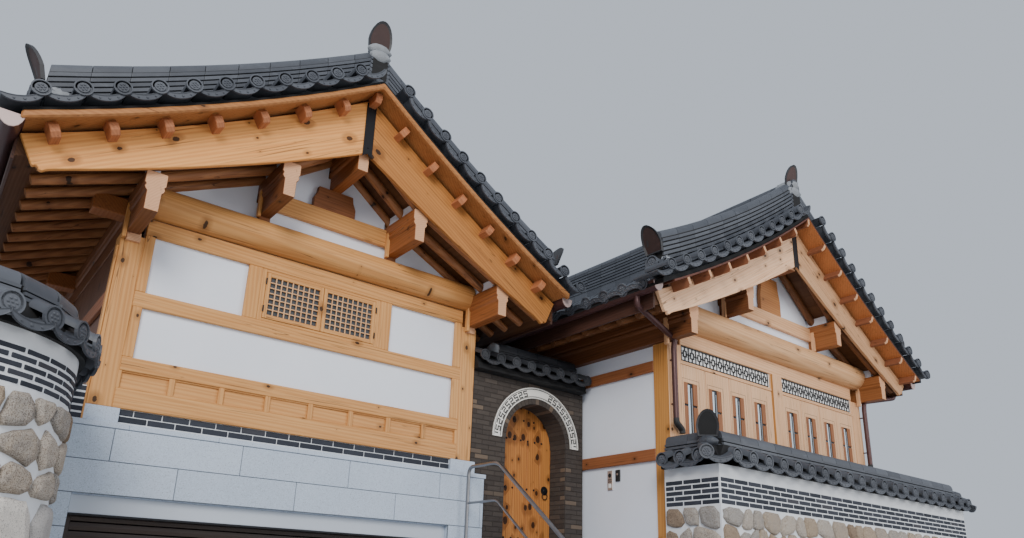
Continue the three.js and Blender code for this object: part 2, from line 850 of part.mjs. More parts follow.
// A tube frame beside the steps
function buildHandrail() {
  const h = HANDRAIL;
  const fall = SILL / RISERS / TREAD;
  const slopeFrom = -LANDING;
  const at = (height, y) => [h.x, y, height - Math.max(0, slopeFrom - y) * fall];
  const rear = PODIUM.front - 90;
  const lowEnd = h.slopeEnd;
  const pieces = [
    rod([h.x, rear, SILL + GAP], [h.x, rear, h.top], h.radius),
    rod([h.x, rear, h.top], at(h.top, slopeFrom), h.radius),
    rod(at(h.top, slopeFrom), at(h.top, lowEnd), h.radius),
    rod([h.x, rear, h.lower], at(h.lower, slopeFrom), h.radius * 0.7),
    rod(at(h.lower, slopeFrom), at(h.lower, lowEnd), h.radius * 0.7),
  ];
  for (const tread of [5, 8]) {
    const y = slopeFrom - (tread + 0.5) * TREAD;
    const foot = SILL - ((tread + 1) * SILL) / RISERS;
    pieces.push(rod([h.x, y, foot + GAP], at(h.top, y), h.radius));
  }
  place("handrail", join(pieces), "steel", 0.3, 1);
}

// Low walls with tiled copings

function copingProfile(foot) {
  const half = GARDEN.wall / 2 + COPING.overhang;
  return [
    [-half, foot],
    [half, foot],
    [half, foot + COPING.edge],
    [85, GARDEN.ridge - 110],
    [85, GARDEN.ridge],
    [-85, GARDEN.ridge],
    [-85, GARDEN.ridge - 110],
    [-half, foot + COPING.edge],
  ];
}

function buildGardenWall() {
  const g = GARDEN;
  const rear = RIGHT.front - 15 - GAP;
  const ring = box(g.left, g.right, g.front, rear, 0, g.top).subtract(
    box(g.left + g.wall, g.right - g.wall, g.front + g.wall, rear + 1, -1, g.top + 1),
  );
  place("garden_wall", ring, "rubble");
  const foot = g.top + GAP;
  const middle = g.wall / 2;
  const over = COPING.overhang;
  const front = alongX(
    copingProfile(foot).map(([a, z]) => [g.front + middle + a, z]),
    g.left - over,
    g.right + over,
  );
  const rearEnd = RIGHT.front - GAP;
  const side = (x) => alongY(copingProfile(foot).map(([a, z]) => [x + a, z]), g.front - over, rearEnd);
  place("garden_wall_coping", join([front, side(g.left + middle), side(g.right - middle)]), "tile");
}

function streetOutline(inner, outer) {
  const s = STREET;
  const shape = new THREE.Shape();
  shape.moveTo(s.centreX - s.straight, s.centreY - outer);
  shape.lineTo(s.centreX, s.centreY - outer);
  shape.absarc(s.centreX, s.centreY, outer, -Math.PI / 2, 0, false);
  shape.lineTo(s.centreX + outer, STREET_REAR);
  shape.lineTo(s.centreX + inner, STREET_REAR);
  shape.lineTo(s.centreX + inner, s.centreY);
  shape.absarc(s.centreX, s.centreY, inner, 0, -Math.PI / 2, true);
  shape.lineTo(s.centreX - s.straight, s.centreY - inner);
  return shape;
}

function buildStreetWall() {
  const s = STREET;
  const inner = s.radius - GARDEN.wall;
  place("street_wall", alongZ(streetOutline(inner, s.radius), 0, s.top), "rubble");
  const middle = (inner + s.radius) / 2;
  const half = GARDEN.wall / 2 + COPING.overhang;
  const foot = s.top + GAP;
  const layers = [
    [half, foot, foot + COPING.edge],
    [half - 80, foot + COPING.edge - 1, foot + COPING.edge + 90],
    [130, foot + COPING.edge + 89, s.ridge - 110],
    [85, s.ridge - 111, s.ridge],
  ];
  const pieces = layers.map(([reach, z0, z1]) => alongZ(streetOutline(middle - reach, middle + reach), z0, z1));
  place("street_wall_coping", join(pieces), "tile");
}

buildBases();
buildLeftWalls();
buildRightWalls();
buildRoof(LEFT);
buildRoof(RIGHT);
buildGate();
buildHandrail();
buildGardenWall();
buildStreetWall();

export default house;
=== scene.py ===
# The looks of a timber house with two tiled wings, an arched brick gate and low street walls.
# Metres, +X to the right along the street, +Y into the plot, +Z up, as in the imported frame.
import math
import random
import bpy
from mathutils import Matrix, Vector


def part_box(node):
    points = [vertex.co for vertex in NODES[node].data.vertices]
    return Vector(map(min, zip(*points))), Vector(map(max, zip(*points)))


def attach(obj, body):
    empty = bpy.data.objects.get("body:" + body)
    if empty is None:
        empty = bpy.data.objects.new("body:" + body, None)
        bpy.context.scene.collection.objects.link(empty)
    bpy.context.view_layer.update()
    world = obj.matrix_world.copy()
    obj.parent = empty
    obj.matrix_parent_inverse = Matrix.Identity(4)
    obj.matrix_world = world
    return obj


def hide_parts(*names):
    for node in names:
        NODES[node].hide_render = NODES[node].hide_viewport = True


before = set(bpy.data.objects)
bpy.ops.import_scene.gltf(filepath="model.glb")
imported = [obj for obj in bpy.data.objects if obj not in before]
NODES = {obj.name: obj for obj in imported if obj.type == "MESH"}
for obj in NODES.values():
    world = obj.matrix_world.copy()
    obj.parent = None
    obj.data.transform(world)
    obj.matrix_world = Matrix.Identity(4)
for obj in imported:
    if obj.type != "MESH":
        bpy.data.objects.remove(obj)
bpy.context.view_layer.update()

from types import SimpleNamespace

import bpy
from mathutils import Matrix, Vector

DICE = random.Random(11)
FRONT = Vector((0, -1, 0))
UP = Vector((0, 0, 1))
EAST = Vector((1, 0, 0))

# Camera and light

EYE = Vector((-6.155, -7.257, 1.6))
YAW, PITCH, ROLL = (math.radians(turn) for turn in (38.18, 18.11, 1.868))
LENS = 26.55
SHIFT_UP = 0.0693


def set_camera():
    ahead = Vector((math.sin(YAW) * math.cos(PITCH), math.cos(YAW) * math.cos(PITCH), math.sin(PITCH)))
    level = Vector((math.cos(YAW), -math.sin(YAW), 0))
    over = level.cross(ahead)
    right = math.cos(ROLL) * level + math.sin(ROLL) * over
    top = math.cos(ROLL) * over - math.sin(ROLL) * level
    turn = Matrix((right, top, -ahead)).transposed().to_4x4()
    bpy.ops.object.camera_add()
    camera = bpy.context.active_object
    camera.matrix_world = Matrix.Translation(EYE) @ turn
    camera.data.lens = LENS
    camera.data.shift_y = SHIFT_UP
    camera.data.clip_end = 200
    bpy.context.scene.camera = camera


def add_softbox(name, place, target, size, power, colour):
    aim = (Vector(target) - Vector(place)).to_track_quat("-Z", "Y").to_euler()
    bpy.ops.object.light_add(type="AREA", location=place, rotation=aim)
    light = bpy.context.active_object
    light.name = name
    light.data.shape = "DISK"
    light.data.size = size
    light.data.energy = power
    light.data.color = colour


def set_light():
    world = bpy.data.worlds.new("studio")
    bpy.context.scene.world = world
    world.use_nodes = True
    sky = world.node_tree.nodes["Background"]
    sky.inputs["Color"].default_value = (0.80, 0.88, 1.0, 1)
    sky.inputs["Strength"].default_value = 0.72
    add_softbox("key_light", (-13, -15, 13), (-1, 0, 4), 9, 3300, (1, 0.96, 0.90))
    add_softbox("fill_light", (9, -14, 5), (2, 0, 4), 8, 800, (1, 0.97, 0.93))


# Materials: a socket with Python's operators, and a finish made of nodes


class Signal:
    """A value that changes over a surface."""

    def __init__(self, finish, socket):
        self.finish = finish
        self.socket = socket

    def math(self, operation, *others, clamp=False):
        settings = {"operation": operation, "use_clamp": clamp}
        return self.finish.node("ShaderNodeMath", settings, dict(enumerate((self,) + others)))

    def __add__(self, other):
        return self.math("ADD", other)

    def __sub__(self, other):
        return self.math("SUBTRACT", other)

    def __rsub__(self, other):
        return self.finish.node("ShaderNodeMath", {"operation": "SUBTRACT"}, {0: other, 1: self})

    def __mul__(self, other):
        return self.math("MULTIPLY", other)

    def __truediv__(self, other):
        return self.math("DIVIDE", other)

    def __gt__(self, other):
        return self.math("GREATER_THAN", other)

    __radd__ = __add__
    __rmul__ = __mul__

    def held(self):
        return self.math("ADD", 0, clamp=True)

    def ramp(self, *stops):
        return self.finish.node("ShaderNodeValToRGB", {"stops": stops}, {0: self})


class Finish:
    """A material, built from nodes on the piece's own coordinates."""

    def __init__(self, name, roughness, metallic=0.0, specular=None):
        self.material = bpy.data.materials.new(name)
        self.material.use_nodes = True
        self.tree = self.material.node_tree
        self.shader = self.tree.nodes["Principled BSDF"]
        self.shader.inputs["Roughness"].default_value = roughness
        self.shader.inputs["Metallic"].default_value = metallic
        if specular is not None:
            self.shader.inputs["Specular IOR Level"].default_value = specular

    def feed(self, socket, value):
        if isinstance(value, Signal):
            self.tree.links.new(value.socket, socket)
        elif isinstance(value, tuple) and socket.type == "RGBA":
            socket.default_value = (*value, 1)
        else:
            socket.default_value = value

    def node(self, kind, settings=None, inputs=None, output=0):
        made = self.tree.nodes.new(kind)
        for key, value in (settings or {}).items():
            if key == "stops":
                self.set_stops(made.color_ramp, value)
            else:
                setattr(made, key, value)
        for key, value in (inputs or {}).items():
            self.feed(made.inputs[key], value)
        return Signal(self, made.outputs[output])

    def set_stops(self, ramp, stops):
        while len(ramp.elements) < len(stops):
            ramp.elements.new(1)
        for element, (place, colour) in zip(ramp.elements, stops):
            element.position = place
            element.color = (*colour, 1) if isinstance(colour, tuple) else (colour, colour, colour, 1)

    def place(self):
        return self.node("ShaderNodeTexCoord", output="Object")

    def mapped(self, vector, scale=(1, 1, 1), turn=(0, 0, 0)):
        inputs = {"Vector": vector, "Scale": scale, "Rotation": turn}
        return self.node("ShaderNodeMapping", None, inputs)

    def noise(self, vector, scale, detail=4, roughness=0.55):
        inputs = {
            "Vector": vector,
            "Scale": scale,
            "Detail": detail,
            "Roughness": roughness,
        }
        return self.node("ShaderNodeTexNoise", None, inputs)

    def cells(self, vector, scale, output):
        inputs = {"Vector": vector, "Scale": scale}
        return self.node("ShaderNodeTexVoronoi", None, inputs, output)

    def flat_cells(self, vector, output):
        settings = {"voronoi_dimensions": "2D"}
        return self.node("ShaderNodeTexVoronoi", settings, {"Vector": vector, "Scale": 1.0}, output)

    def split(self, vector):
        made = self.node("ShaderNodeSeparateXYZ", None, {0: vector}).socket.node
        return [Signal(self, made.outputs[index]) for index in range(3)]

    def join(self, x, y):
        return self.node("ShaderNodeCombineXYZ", None, {0: x, 1: y})

    def vectors(self, operation, first, second):
        return self.node("ShaderNodeVectorMath", {"operation": operation}, {0: first, 1: second})

    def length_of(self, vector):
        return self.node("ShaderNodeVectorMath", {"operation": "LENGTH"}, {0: vector}, "Value")

    def red_of(self, colour):
        return self.node("ShaderNodeSeparateColor", None, {0: colour})

    def mix(self, factor, first, second):
        made = self.tree.nodes.new("ShaderNodeMix")
        made.data_type = "RGBA"
        for index, value in ((0, factor), (6, first), (7, second)):
            self.feed(made.inputs[index], value)
        return Signal(self, made.outputs[2])

    def tone(self):
        return self.node("ShaderNodeAttribute", {"attribute_name": "tone"}, output="Fac")

    def paint(self, colour, roughness=None):
        self.feed(self.shader.inputs["Base Color"], colour)
        if roughness is not None:
            self.feed(self.shader.inputs["Roughness"], roughness)

    def relief(self, height, strength, distance):
        inputs = {"Height": height, "Strength": strength, "Distance": distance}
        bump = self.node("ShaderNodeBump", None, inputs)
        self.feed(self.shader.inputs["Normal"], bump)


def shade(colour, amount):
    return tuple(channel * amount for channel in colour)


def shade_between(first, second, share):
    return tuple(a * (1 - share) + b * share for a, b in zip(first, second))


def make_pine(name, along, light, deep, turn=0.0, roughness=0.52, knots=0.45, grid=(2.3, 6.2)):
    """Planed pine: streaks and rings along the grain, knots with dark hearts, fine cracks."""
    finish = Finish(name, roughness, specular=0.35)
    place = finish.mapped(finish.place(), turn=(0, turn, 0))
    axes = finish.split(place)
    lengthwise = axes.pop(along)
    crosswise = axes[0] + axes[1]

    def stretched(lengths, widths):
        scale = [widths] * 3
        scale[along] = lengths
        return finish.mapped(place, scale=tuple(scale))

    streaks = finish.noise(stretched(0.9, 30), 1, 6, 0.62)
    broad = finish.noise(stretched(0.35, 3.2), 1, 3, 0.5)
    lanes = finish.join(lengthwise * grid[0], crosswise * grid[1])
    apart = finish.vectors("SUBTRACT", lanes, finish.flat_cells(lanes, "Position"))
    ragged = finish.noise(place, 40, 2) * 0.012
    reach = finish.length_of(finish.mapped(apart, scale=(0.7 / grid[0], 1 / grid[1], 0))) + ragged
    size = (finish.red_of(finish.flat_cells(lanes, "Color")) - knots).held() * 0.052
    knot = ((size - reach) * 260).held()
    halo = ((size * 2.7 - reach) * 30).held() * (size * 60).held()
    rings = finish.node(
        "ShaderNodeTexWave",
        {"bands_direction": "DIAGONAL"},
        {"Vector": stretched(0.22, 7.5), "Scale": 2.3, "Distortion": halo * 4 + 5.0, "Detail": 2.5},
    )
    cracks = ((finish.noise(stretched(1.1, 75), 1, 2, 0.5) - 0.645) * 14).held()
    drift = finish.noise(stretched(0.30, 9), 1, 2, 0.5)
    seams = ((0.0045 - (drift - 0.5).math("ABSOLUTE")) * 500).held() * ((broad - 0.50) * 12).held()
    grain = (streaks * 0.60 + rings * 0.30 + broad * 0.6 - 0.28).held()
    base = grain.ramp((0.10, light), (0.48, shade_between(light, deep, 0.5)), (0.88, deep))
    warm = finish.mix(halo * 0.62, base, shade(deep, 0.58))
    cracked = finish.mix((cracks * 0.65 + seams * 0.75).held(), warm, shade(deep, 0.25))
    finish.paint(finish.mix(knot, cracked, shade(deep, 0.12)), grain * 0.16 + (roughness - 0.08))
    finish.relief(streaks * 0.5 + rings * 0.3 - knot * 0.4 - cracks, 0.3, 0.004)
    return finish.material


def make_end_grain(name, light, deep):
    finish = Finish(name, 0.7, specular=0.2)
    place = finish.place()
    blur = finish.noise(place, 6, 4)
    rings = finish.node(
        "ShaderNodeTexWave",
        {"wave_type": "RINGS", "rings_direction": "Y"},
        {"Vector": place, "Scale": 14.0, "Distortion": 5.0, "Detail": 2.0},
    )
    splits = ((finish.noise(finish.mapped(place, scale=(30, 3, 9)), 1, 3) - 0.64) * 9).held()
    tone = finish.mix(rings * 0.35 + blur * 0.4, light, deep)
    finish.paint(finish.mix(splits * 0.7, tone, shade(deep, 0.35)))
    finish.relief(blur - splits, 0.3, 0.004)
    return finish.material


def make_plaster(name, colour, tint):
    finish = Finish(name, 0.88, specular=0.15)
    place = finish.place()
    cloud = finish.noise(place, 1.1, 5, 0.6)
    trowel = finish.noise(finish.mapped(place, scale=(3, 3, 9)), 2.2, 6, 0.6)
    grit = finish.noise(place, 160, 2)
    mottled = finish.mix((cloud * 1.4 - 0.35).held(), colour, tint)
    finish.paint(finish.mix((trowel - 0.62) * 1.2, mottled, shade(tint, 0.86)))
    finish.relief(trowel * 0.6 + grit * 0.25, 0.22, 0.004)
    return finish.material


def make_clay(name, dark, light, roughness=0.5):
    """Smoked roof clay: each tile a little different, powdery where it weathers."""
    finish = Finish(name, roughness, specular=0.45)
    place = finish.place()
    cloud = finish.noise(place, 5, 6, 0.65)
    smoke = finish.noise(finish.mapped(place, scale=(2, 2, 5)), 3.3, 3)
    grit = finish.noise(place, 120, 2)
    share = (finish.tone() * 0.55 + cloud * 0.7 - 0.22).held()
    base = finish.mix(share, dark, light)
    bloom = ((smoke - 0.60) * 5).held() * 0.35
    finish.paint(finish.mix(bloom, base, shade(light, 1.5)), cloud * 0.3 + (roughness - 0.1))
    finish.relief(cloud * 0.5 + grit * 0.35, 0.3, 0.005)
    return finish.material


def make_brick(name, dark, light, odd, odd_share):
    finish = Finish(name, 0.75, specular=0.3)
    place = finish.place()
    cloud = finish.noise(place, 14, 5, 0.65)
    pits = finish.noise(place, 90, 3)
    base = finish.mix((finish.tone() * 0.6 + cloud * 0.6 - 0.2).held(), dark, light)
    mixed = finish.mix(((finish.tone() - (1 - odd_share)) * 30).held() * 0.8, base, odd)
    finish.paint(mixed)
    finish.relief(cloud * 0.5 + pits * 0.6, 0.45, 0.004)
    return finish.material


def make_mortar(name, light, dark):
    finish = Finish(name, 0.92, specular=0.1)
    place = finish.place()
    cloud = finish.noise(place, 3, 6, 0.65)
    sand = finish.noise(place, 140, 2)
    finish.paint(finish.mix((cloud * 1.5 - 0.4).held(), light, dark))
    finish.relief(cloud * 0.6 + sand * 0.5, 0.5, 0.006)
    return finish.material


def make_stone(name, tones, speck, speck_share, scale):
    """Rough field stone: a tone for each stone, specks of dark mica, a broken face."""
    finish = Finish(name, 0.88, specular=0.2)
    place = finish.place()
    cloud = finish.noise(place, scale, 7, 0.68)
    specks = finish.noise(place, 130, 3, 0.7)
    stops = [(index / (len(tones) - 1), tone) for index, tone in enumerate(tones)]
    base = (finish.tone() * 0.85 + cloud * 0.5 - 0.2).held().ramp(*stops)
    veined = finish.mix(((cloud - 0.52) * 5).held() * 0.35, base, shade(tones[0], 0.55))
    finish.paint(finish.mix(((specks - speck_share) * 12).held() * 0.7, veined, speck))
    finish.relief(cloud * 1.3 + specks * 0.5, 0.9, 0.024)
    return finish.material


def make_granite(name, light, dark, speck):
    finish = Finish(name, 0.62, specular=0.35)
    place = finish.place()
    cloud = finish.noise(place, 2.2, 4, 0.6)
    crystals = finish.red_of(finish.cells(place, 240, "Color"))
    coarse = finish.noise(place, 110, 3, 0.7)
    base = finish.mix((cloud * 0.9 + finish.tone() * 0.5 - 0.2).held(), light, dark)
    milky = finish.mix(((crystals - 0.72) * 4).held() * 0.55, base, shade(light, 1.28))
    finish.paint(finish.mix(((coarse - 0.56) * 9).held() * 0.7, milky, speck))
    finish.relief(coarse * 0.4 + crystals * 0.2, 0.16, 0.003)
    return finish.material


def make_metal(name, colour, roughness, metallic, wear=0.25):
    finish = Finish(name, roughness, metallic)
    place = finish.place()
    cloud = finish.noise(place, 40, 5, 0.65)
    finish.paint(finish.mix(cloud * wear, colour, shade(colour, 1.9)), cloud * 0.25 + (roughness - 0.1))
    finish.relief(cloud, 0.12, 0.002)
    return finish.material


def make_glass(name):
    """Dark panes with a pale upright reflection of the sky painted into their colour."""
    finish = Finish(name, 0.12, specular=0.6)
    place = finish.place()
    reflection_streaks = finish.noise(finish.mapped(place, scale=(5, 5, 0.7)), 1.6, 2)
    # The pale streaks mixed into the base colour are a painted reflection of the sky
    finish.paint(finish.mix(((reflection_streaks - 0.5) * 3).held() * 0.6, (0.012, 0.014, 0.018), (0.20, 0.26, 0.33)))
    return finish.material


BOARD_TILT = 0.56
SHADED_LIGHT = (0.33, 0.145, 0.058)
SHADED_DEEP = (0.17, 0.064, 0.025)

# The light and deep tones of the planed pine that shows on each wing
WING_PINES = {
    "left": ((0.70, 0.37, 0.135), (0.47, 0.195, 0.052)),
    "right": ((0.80, 0.50, 0.29), (0.58, 0.29, 0.13)),
}

# Other timber: the axis of its grain, its light and deep tones, and how rare its knots are
TIMBERS = {
    # Purlins: pine darkened as painted shade under the roof, the west purlins darkest
    "left_purlin_pine": (1, (0.34, 0.12, 0.036), (0.205, 0.066, 0.018), 0.45),
    "right_purlin_pine": (1, (0.33, 0.128, 0.041), (0.205, 0.069, 0.020), 0.45),
    "west_purlin_pine": (1, (0.20, 0.075, 0.028), (0.12, 0.04, 0.014), 0.45),
    "right_log_pine": (0, (0.76, 0.47, 0.25), (0.56, 0.28, 0.12), 0.45),
    "left_king_pine": (0, (0.30, 0.115, 0.045), (0.18, 0.062, 0.024), 0.45),
    "right_king_pine": (0, (0.52, 0.235, 0.085), (0.34, 0.125, 0.042), 0.45),
    "left_bracket": (1, (0.50, 0.195, 0.085), (0.34, 0.12, 0.05), 0.8),
    "right_bracket": (1, (0.30, 0.12, 0.06), (0.20, 0.07, 0.035), 0.8),
    # Verge boards: pine darkened as painted shade, the right wing's west slope darkest;
    # right_verge_bright is a lit copy for its east slope
    "left_verge_pine": (0, (0.45, 0.20, 0.070), (0.305, 0.116, 0.036), 0.5),
    "right_verge_pine": (0, (0.135, 0.045, 0.026), (0.085, 0.026, 0.016), 0.8),
    "right_verge_bright": (0, (0.60, 0.235, 0.085), (0.42, 0.145, 0.045), 0.6),
    "rail_pine": (1, (0.36, 0.135, 0.055), (0.24, 0.08, 0.030), 0.5),
    "post_pine": (2, (0.62, 0.30, 0.085), (0.42, 0.17, 0.040), 0.5),
    "fascia": (1, (0.085, 0.038, 0.026), (0.05, 0.022, 0.016), 0.8),
    # Soffit boards: the shaded pine darkened further, as painted shade under the eaves
    "soffit": (1, (0.1188, 0.0522, 0.02088), (0.0714, 0.02688, 0.0105), 0.45),
    "shaded_wall": (2, (0.17, 0.072, 0.036), (0.10, 0.040, 0.020), 0.5),
    "sash_pine": (2, (0.80, 0.51, 0.31), (0.64, 0.36, 0.18), 0.7),
    "lattice_pine": (2, (0.72, 0.44, 0.24), (0.50, 0.27, 0.13), 0.8),
    "reveal_pine": (2, (0.34, 0.135, 0.050), (0.22, 0.075, 0.026), 0.8),
}

# Timber that lies down a slope: its light and deep tones, which slope, and how rare its knots are
SLOPING_TIMBERS = {
    # Bargeboards: each slope a copy of its wing's pine, lighter on the west slope (0) and darker on the
    # east slope (1), as painted light and shade
    "left_pine_slope_0": ((0.88, 0.43, 0.133), (0.60, 0.225, 0.054), 1, 0.30),
    "left_pine_slope_1": ((0.53, 0.232, 0.064), (0.31, 0.113, 0.026), -1, 0.30),
    "right_pine_slope_0": ((0.93, 0.64, 0.42), (0.79, 0.44, 0.24), 1, 0.30),
    "right_pine_slope_1": ((0.64, 0.40, 0.232), (0.435, 0.2175, 0.0975), -1, 0.30),
    # Rafters: the shaded pine lightened for the left wing and darkened for the right, as painted light
    # and shade under the eaves
    "left_rafter_0": (shade(SHADED_LIGHT, 1.35), shade(SHADED_DEEP, 1.35), 1, 0.45),
    "left_rafter_1": (shade(SHADED_LIGHT, 1.35), shade(SHADED_DEEP, 1.35), -1, 0.45),
    "right_rafter_0": (shade(SHADED_LIGHT, 0.75), shade(SHADED_DEEP, 0.75), 1, 0.45),
    "right_rafter_1": (shade(SHADED_LIGHT, 0.75), shade(SHADED_DEEP, 0.75), -1, 0.45),
}

# All other finishes: how each is made, its tones, and what else its maker asks for
SURFACES = {
    "end_grain": (make_end_grain, (0.66, 0.385, 0.225), (0.49, 0.25, 0.135)),
    "plaster": (make_plaster, (0.80, 0.84, 0.93), (0.72, 0.76, 0.85)),
    "paper": (make_plaster, (0.86, 0.86, 0.85), (0.78, 0.80, 0.82)),
    # The garage header's white stone, darkened as painted shade in its recess
    "white_stone": (make_plaster, (0.52, 0.57, 0.65), (0.46, 0.51, 0.58)),
    "cream": (make_plaster, (0.82, 0.81, 0.77), (0.72, 0.70, 0.65)),
    "grey_glass": (make_plaster, (0.30, 0.32, 0.34), (0.16, 0.17, 0.19)),
    "lattice_pane": (make_plaster, (0.10, 0.11, 0.12), (0.030, 0.035, 0.040)),
    # A pale strip laid on the casement panes: a painted reflection of the sky
    "sky_glass": (make_plaster, (0.72, 0.80, 0.86), (0.52, 0.60, 0.68)),
    "floor": (make_plaster, (0.54, 0.53, 0.51), (0.50, 0.49, 0.48)),
    "clay": (make_clay, (0.045, 0.051, 0.065), (0.106, 0.117, 0.140)),
    "shaded_clay": (make_clay, (0.018, 0.020, 0.026), (0.050, 0.055, 0.065)),
    "dark_clay": (make_clay, (0.020, 0.021, 0.025), (0.050, 0.050, 0.056)),
    # Near-black clay for the beds and cores under and between tiles, and for a sunk horn face: painted
    # shade
    "soot": (make_clay, (0.006, 0.006, 0.007), (0.014, 0.014, 0.016), 0.8),
    "horn_face": (make_clay, (0.030, 0.016, 0.015), (0.075, 0.038, 0.034), 0.6),
    "black_brick": (make_brick, (0.018, 0.022, 0.032), (0.048, 0.054, 0.072), (0.05, 0.05, 0.06), 0.05),
    "gate_brick": (make_brick, (0.045, 0.037, 0.033), (0.085, 0.070, 0.060), (0.17, 0.125, 0.09), 0.08),
    "white_mortar": (make_mortar, (0.74, 0.77, 0.81), (0.60, 0.63, 0.68)),
    "grey_mortar": (make_mortar, (0.34, 0.36, 0.39), (0.15, 0.165, 0.185)),
    "gate_mortar": (make_mortar, (0.060, 0.051, 0.046), (0.040, 0.034, 0.032)),
    "joint": (make_mortar, (0.16, 0.17, 0.18), (0.10, 0.10, 0.11)),
    "rubble": (
        make_stone,
        ((0.25, 0.180, 0.125), (0.48, 0.390, 0.295), (0.40, 0.385, 0.365), (0.61, 0.53, 0.44)),
        (0.085, 0.055, 0.042),
        0.50,
        13,
    ),
    "grey_stone": (
        make_stone,
        ((0.44, 0.43, 0.43), (0.62, 0.60, 0.58), (0.76, 0.72, 0.67)),
        (0.10, 0.09, 0.09),
        0.55,
        7,
    ),
    "granite": (make_granite, (0.50, 0.58, 0.70), (0.41, 0.49, 0.60), (0.18, 0.21, 0.26)),
    "iron": (make_metal, (0.020, 0.020, 0.023), 0.52, 0.7),
    "steel": (make_metal, (0.28, 0.28, 0.29), 0.30, 1.0, 0.1),
    "shutter": (make_metal, (0.030, 0.020, 0.017), 0.38, 0.3),
    "gutter": (make_metal, (0.072, 0.032, 0.032), 0.38, 0.35, 0.2),
    "gutter_cap": (make_metal, (0.52, 0.40, 0.38), 0.5, 0.1, 0.15),
    # Black: real black for the transom fret, the pipe elbow and the plates, and painted shade for the
    # arch band's sunk key pattern
    "fret_black": (make_metal, (0.014, 0.014, 0.016), 0.6, 0.0),
    "plate_silver": (make_metal, (0.50, 0.46, 0.44), 0.32, 0.7),
    "glass": (make_glass,),
}
LOOKS = {}


def make_looks():
    for wing, tones in WING_PINES.items():
        for along, axis in enumerate("xyz"):
            name = f"{wing}_pine_{axis}"
            LOOKS[name] = make_pine(name, along, *tones)
    for name, (along, light, deep, knots) in TIMBERS.items():
        LOOKS[name] = make_pine(name, along, light, deep, knots=knots)
    for name, (light, deep, slope, knots) in SLOPING_TIMBERS.items():
        LOOKS[name] = make_pine(name, 0, light, deep, turn=slope * BOARD_TILT, knots=knots)
    door_tones = (0.64, 0.27, 0.07), (0.38, 0.125, 0.028)
    LOOKS["door_pine"] = make_pine("door_pine", 2, *door_tones, knots=0.15, grid=(4.6, 8.5))
    for name, (maker, *tones) in SURFACES.items():
        LOOKS[name] = maker(name, *tones)


# Making pieces by hand

EASED_EDGE, FINE_EDGE, THIN_EDGE, SHARP_EDGE = 0.006, 0.003, 0.002, 0.001


def let_go():
    if bpy.context.mode != "OBJECT":
        bpy.ops.object.mode_set(mode="OBJECT")
    bpy.ops.object.select_all(action="DESELECT")


def take(*pieces):
    let_go()
    for piece in pieces:
        piece.select_set(True)
    bpy.context.view_layer.objects.active = pieces[0]


def edit_all(piece):
    take(piece)
    bpy.ops.object.mode_set(mode="EDIT")
    bpy.ops.mesh.select_all(action="SELECT")


def edit_done():
    bpy.ops.object.mode_set(mode="OBJECT")


def fixed():
    """The newest piece, with its place and turn taken into its mesh."""
    bpy.ops.object.transform_apply(location=True, rotation=True, scale=True)
    return bpy.context.active_object


def dressed(piece, look):
    if look:
        piece.data.materials.clear()
        piece.data.materials.append(LOOKS[look])
    return piece


def bevelled(piece, edge):
    edit_all(piece)
    bpy.ops.mesh.bevel(offset=edge, segments=1, affect="EDGES")
    edit_done()
    return piece


def block(x, y, z, look, edge=0.004):
    """A squared piece from its spans in X, Y and Z."""
    let_go()
    spans = [sorted(span) for span in (x, y, z)]
    middle = [(a + b) / 2 for a, b in spans]
    size = [b - a for a, b in spans]
    bpy.ops.mesh.primitive_cube_add(size=1, location=middle, scale=size)
    piece = fixed()
    if edge:
        bevelled(piece, min(edge, 0.3 * min(size)))
    return dressed(piece, look)


def carried(points, way, start, end, look, edge=0.0):
    """An outline in the two other axes, carried along one axis."""
    let_go()
    bpy.ops.mesh.primitive_circle_add(vertices=len(points), fill_type="NGON")
    piece = bpy.context.active_object
    axis = "xyz".index(way)
    others = [index for index in range(3) if index != axis]
    for vertex, point in zip(piece.data.vertices, points):
        place = [0, 0, 0]
        place[axis] = start
        place[others[0]], place[others[1]] = point
        vertex.co = place
    move = [0, 0, 0]
    move[axis] = end - start
    edit_all(piece)
    bpy.ops.mesh.extrude_region_move(TRANSFORM_OT_translate={"value": move})
    bpy.ops.mesh.select_all(action="SELECT")
    bpy.ops.mesh.normals_make_consistent(inside=False)
    if edge:
        bpy.ops.mesh.bevel(offset=edge, segments=1, affect="EDGES")
    edit_done()
    return dressed(piece, look)


def bar(start, end, radius, look, sides=10, far_radius=None):
    """A round bar between two points."""
    let_go()
    start, end = Vector(start), Vector(end)
    bpy.ops.mesh.primitive_cone_add(
        vertices=sides,
        radius1=radius,
        radius2=radius if far_radius is None else far_radius,
        depth=(end - start).length,
        location=(start + end) / 2,
        rotation=(end - start).to_track_quat("Z", "Y").to_euler(),
    )
    return dressed(fixed(), look)


def tube(points, radius, look, sides=3):
    """A bent round tube through the points."""
    let_go()
    bpy.ops.curve.primitive_bezier_curve_add()
    path = bpy.context.active_object
    path.data.splines.clear()
    spline = path.data.splines.new("POLY")
    spline.points.add(len(points) - 1)
    for knot, point in zip(spline.points, points):
        knot.co = (*point, 1)
    path.data.bevel_depth = radius
    path.data.bevel_resolution = sides
    path.data.use_fill_caps = True
    bpy.ops.object.convert(target="MESH")
    piece = bpy.context.active_object
    edit_all(piece)
    bpy.ops.mesh.remove_doubles(threshold=0.0004)
    bpy.ops.mesh.normals_make_consistent(inside=False)
    edit_done()
    bpy.ops.object.shade_smooth_by_angle(angle=math.radians(50))
    return dressed(piece, look)


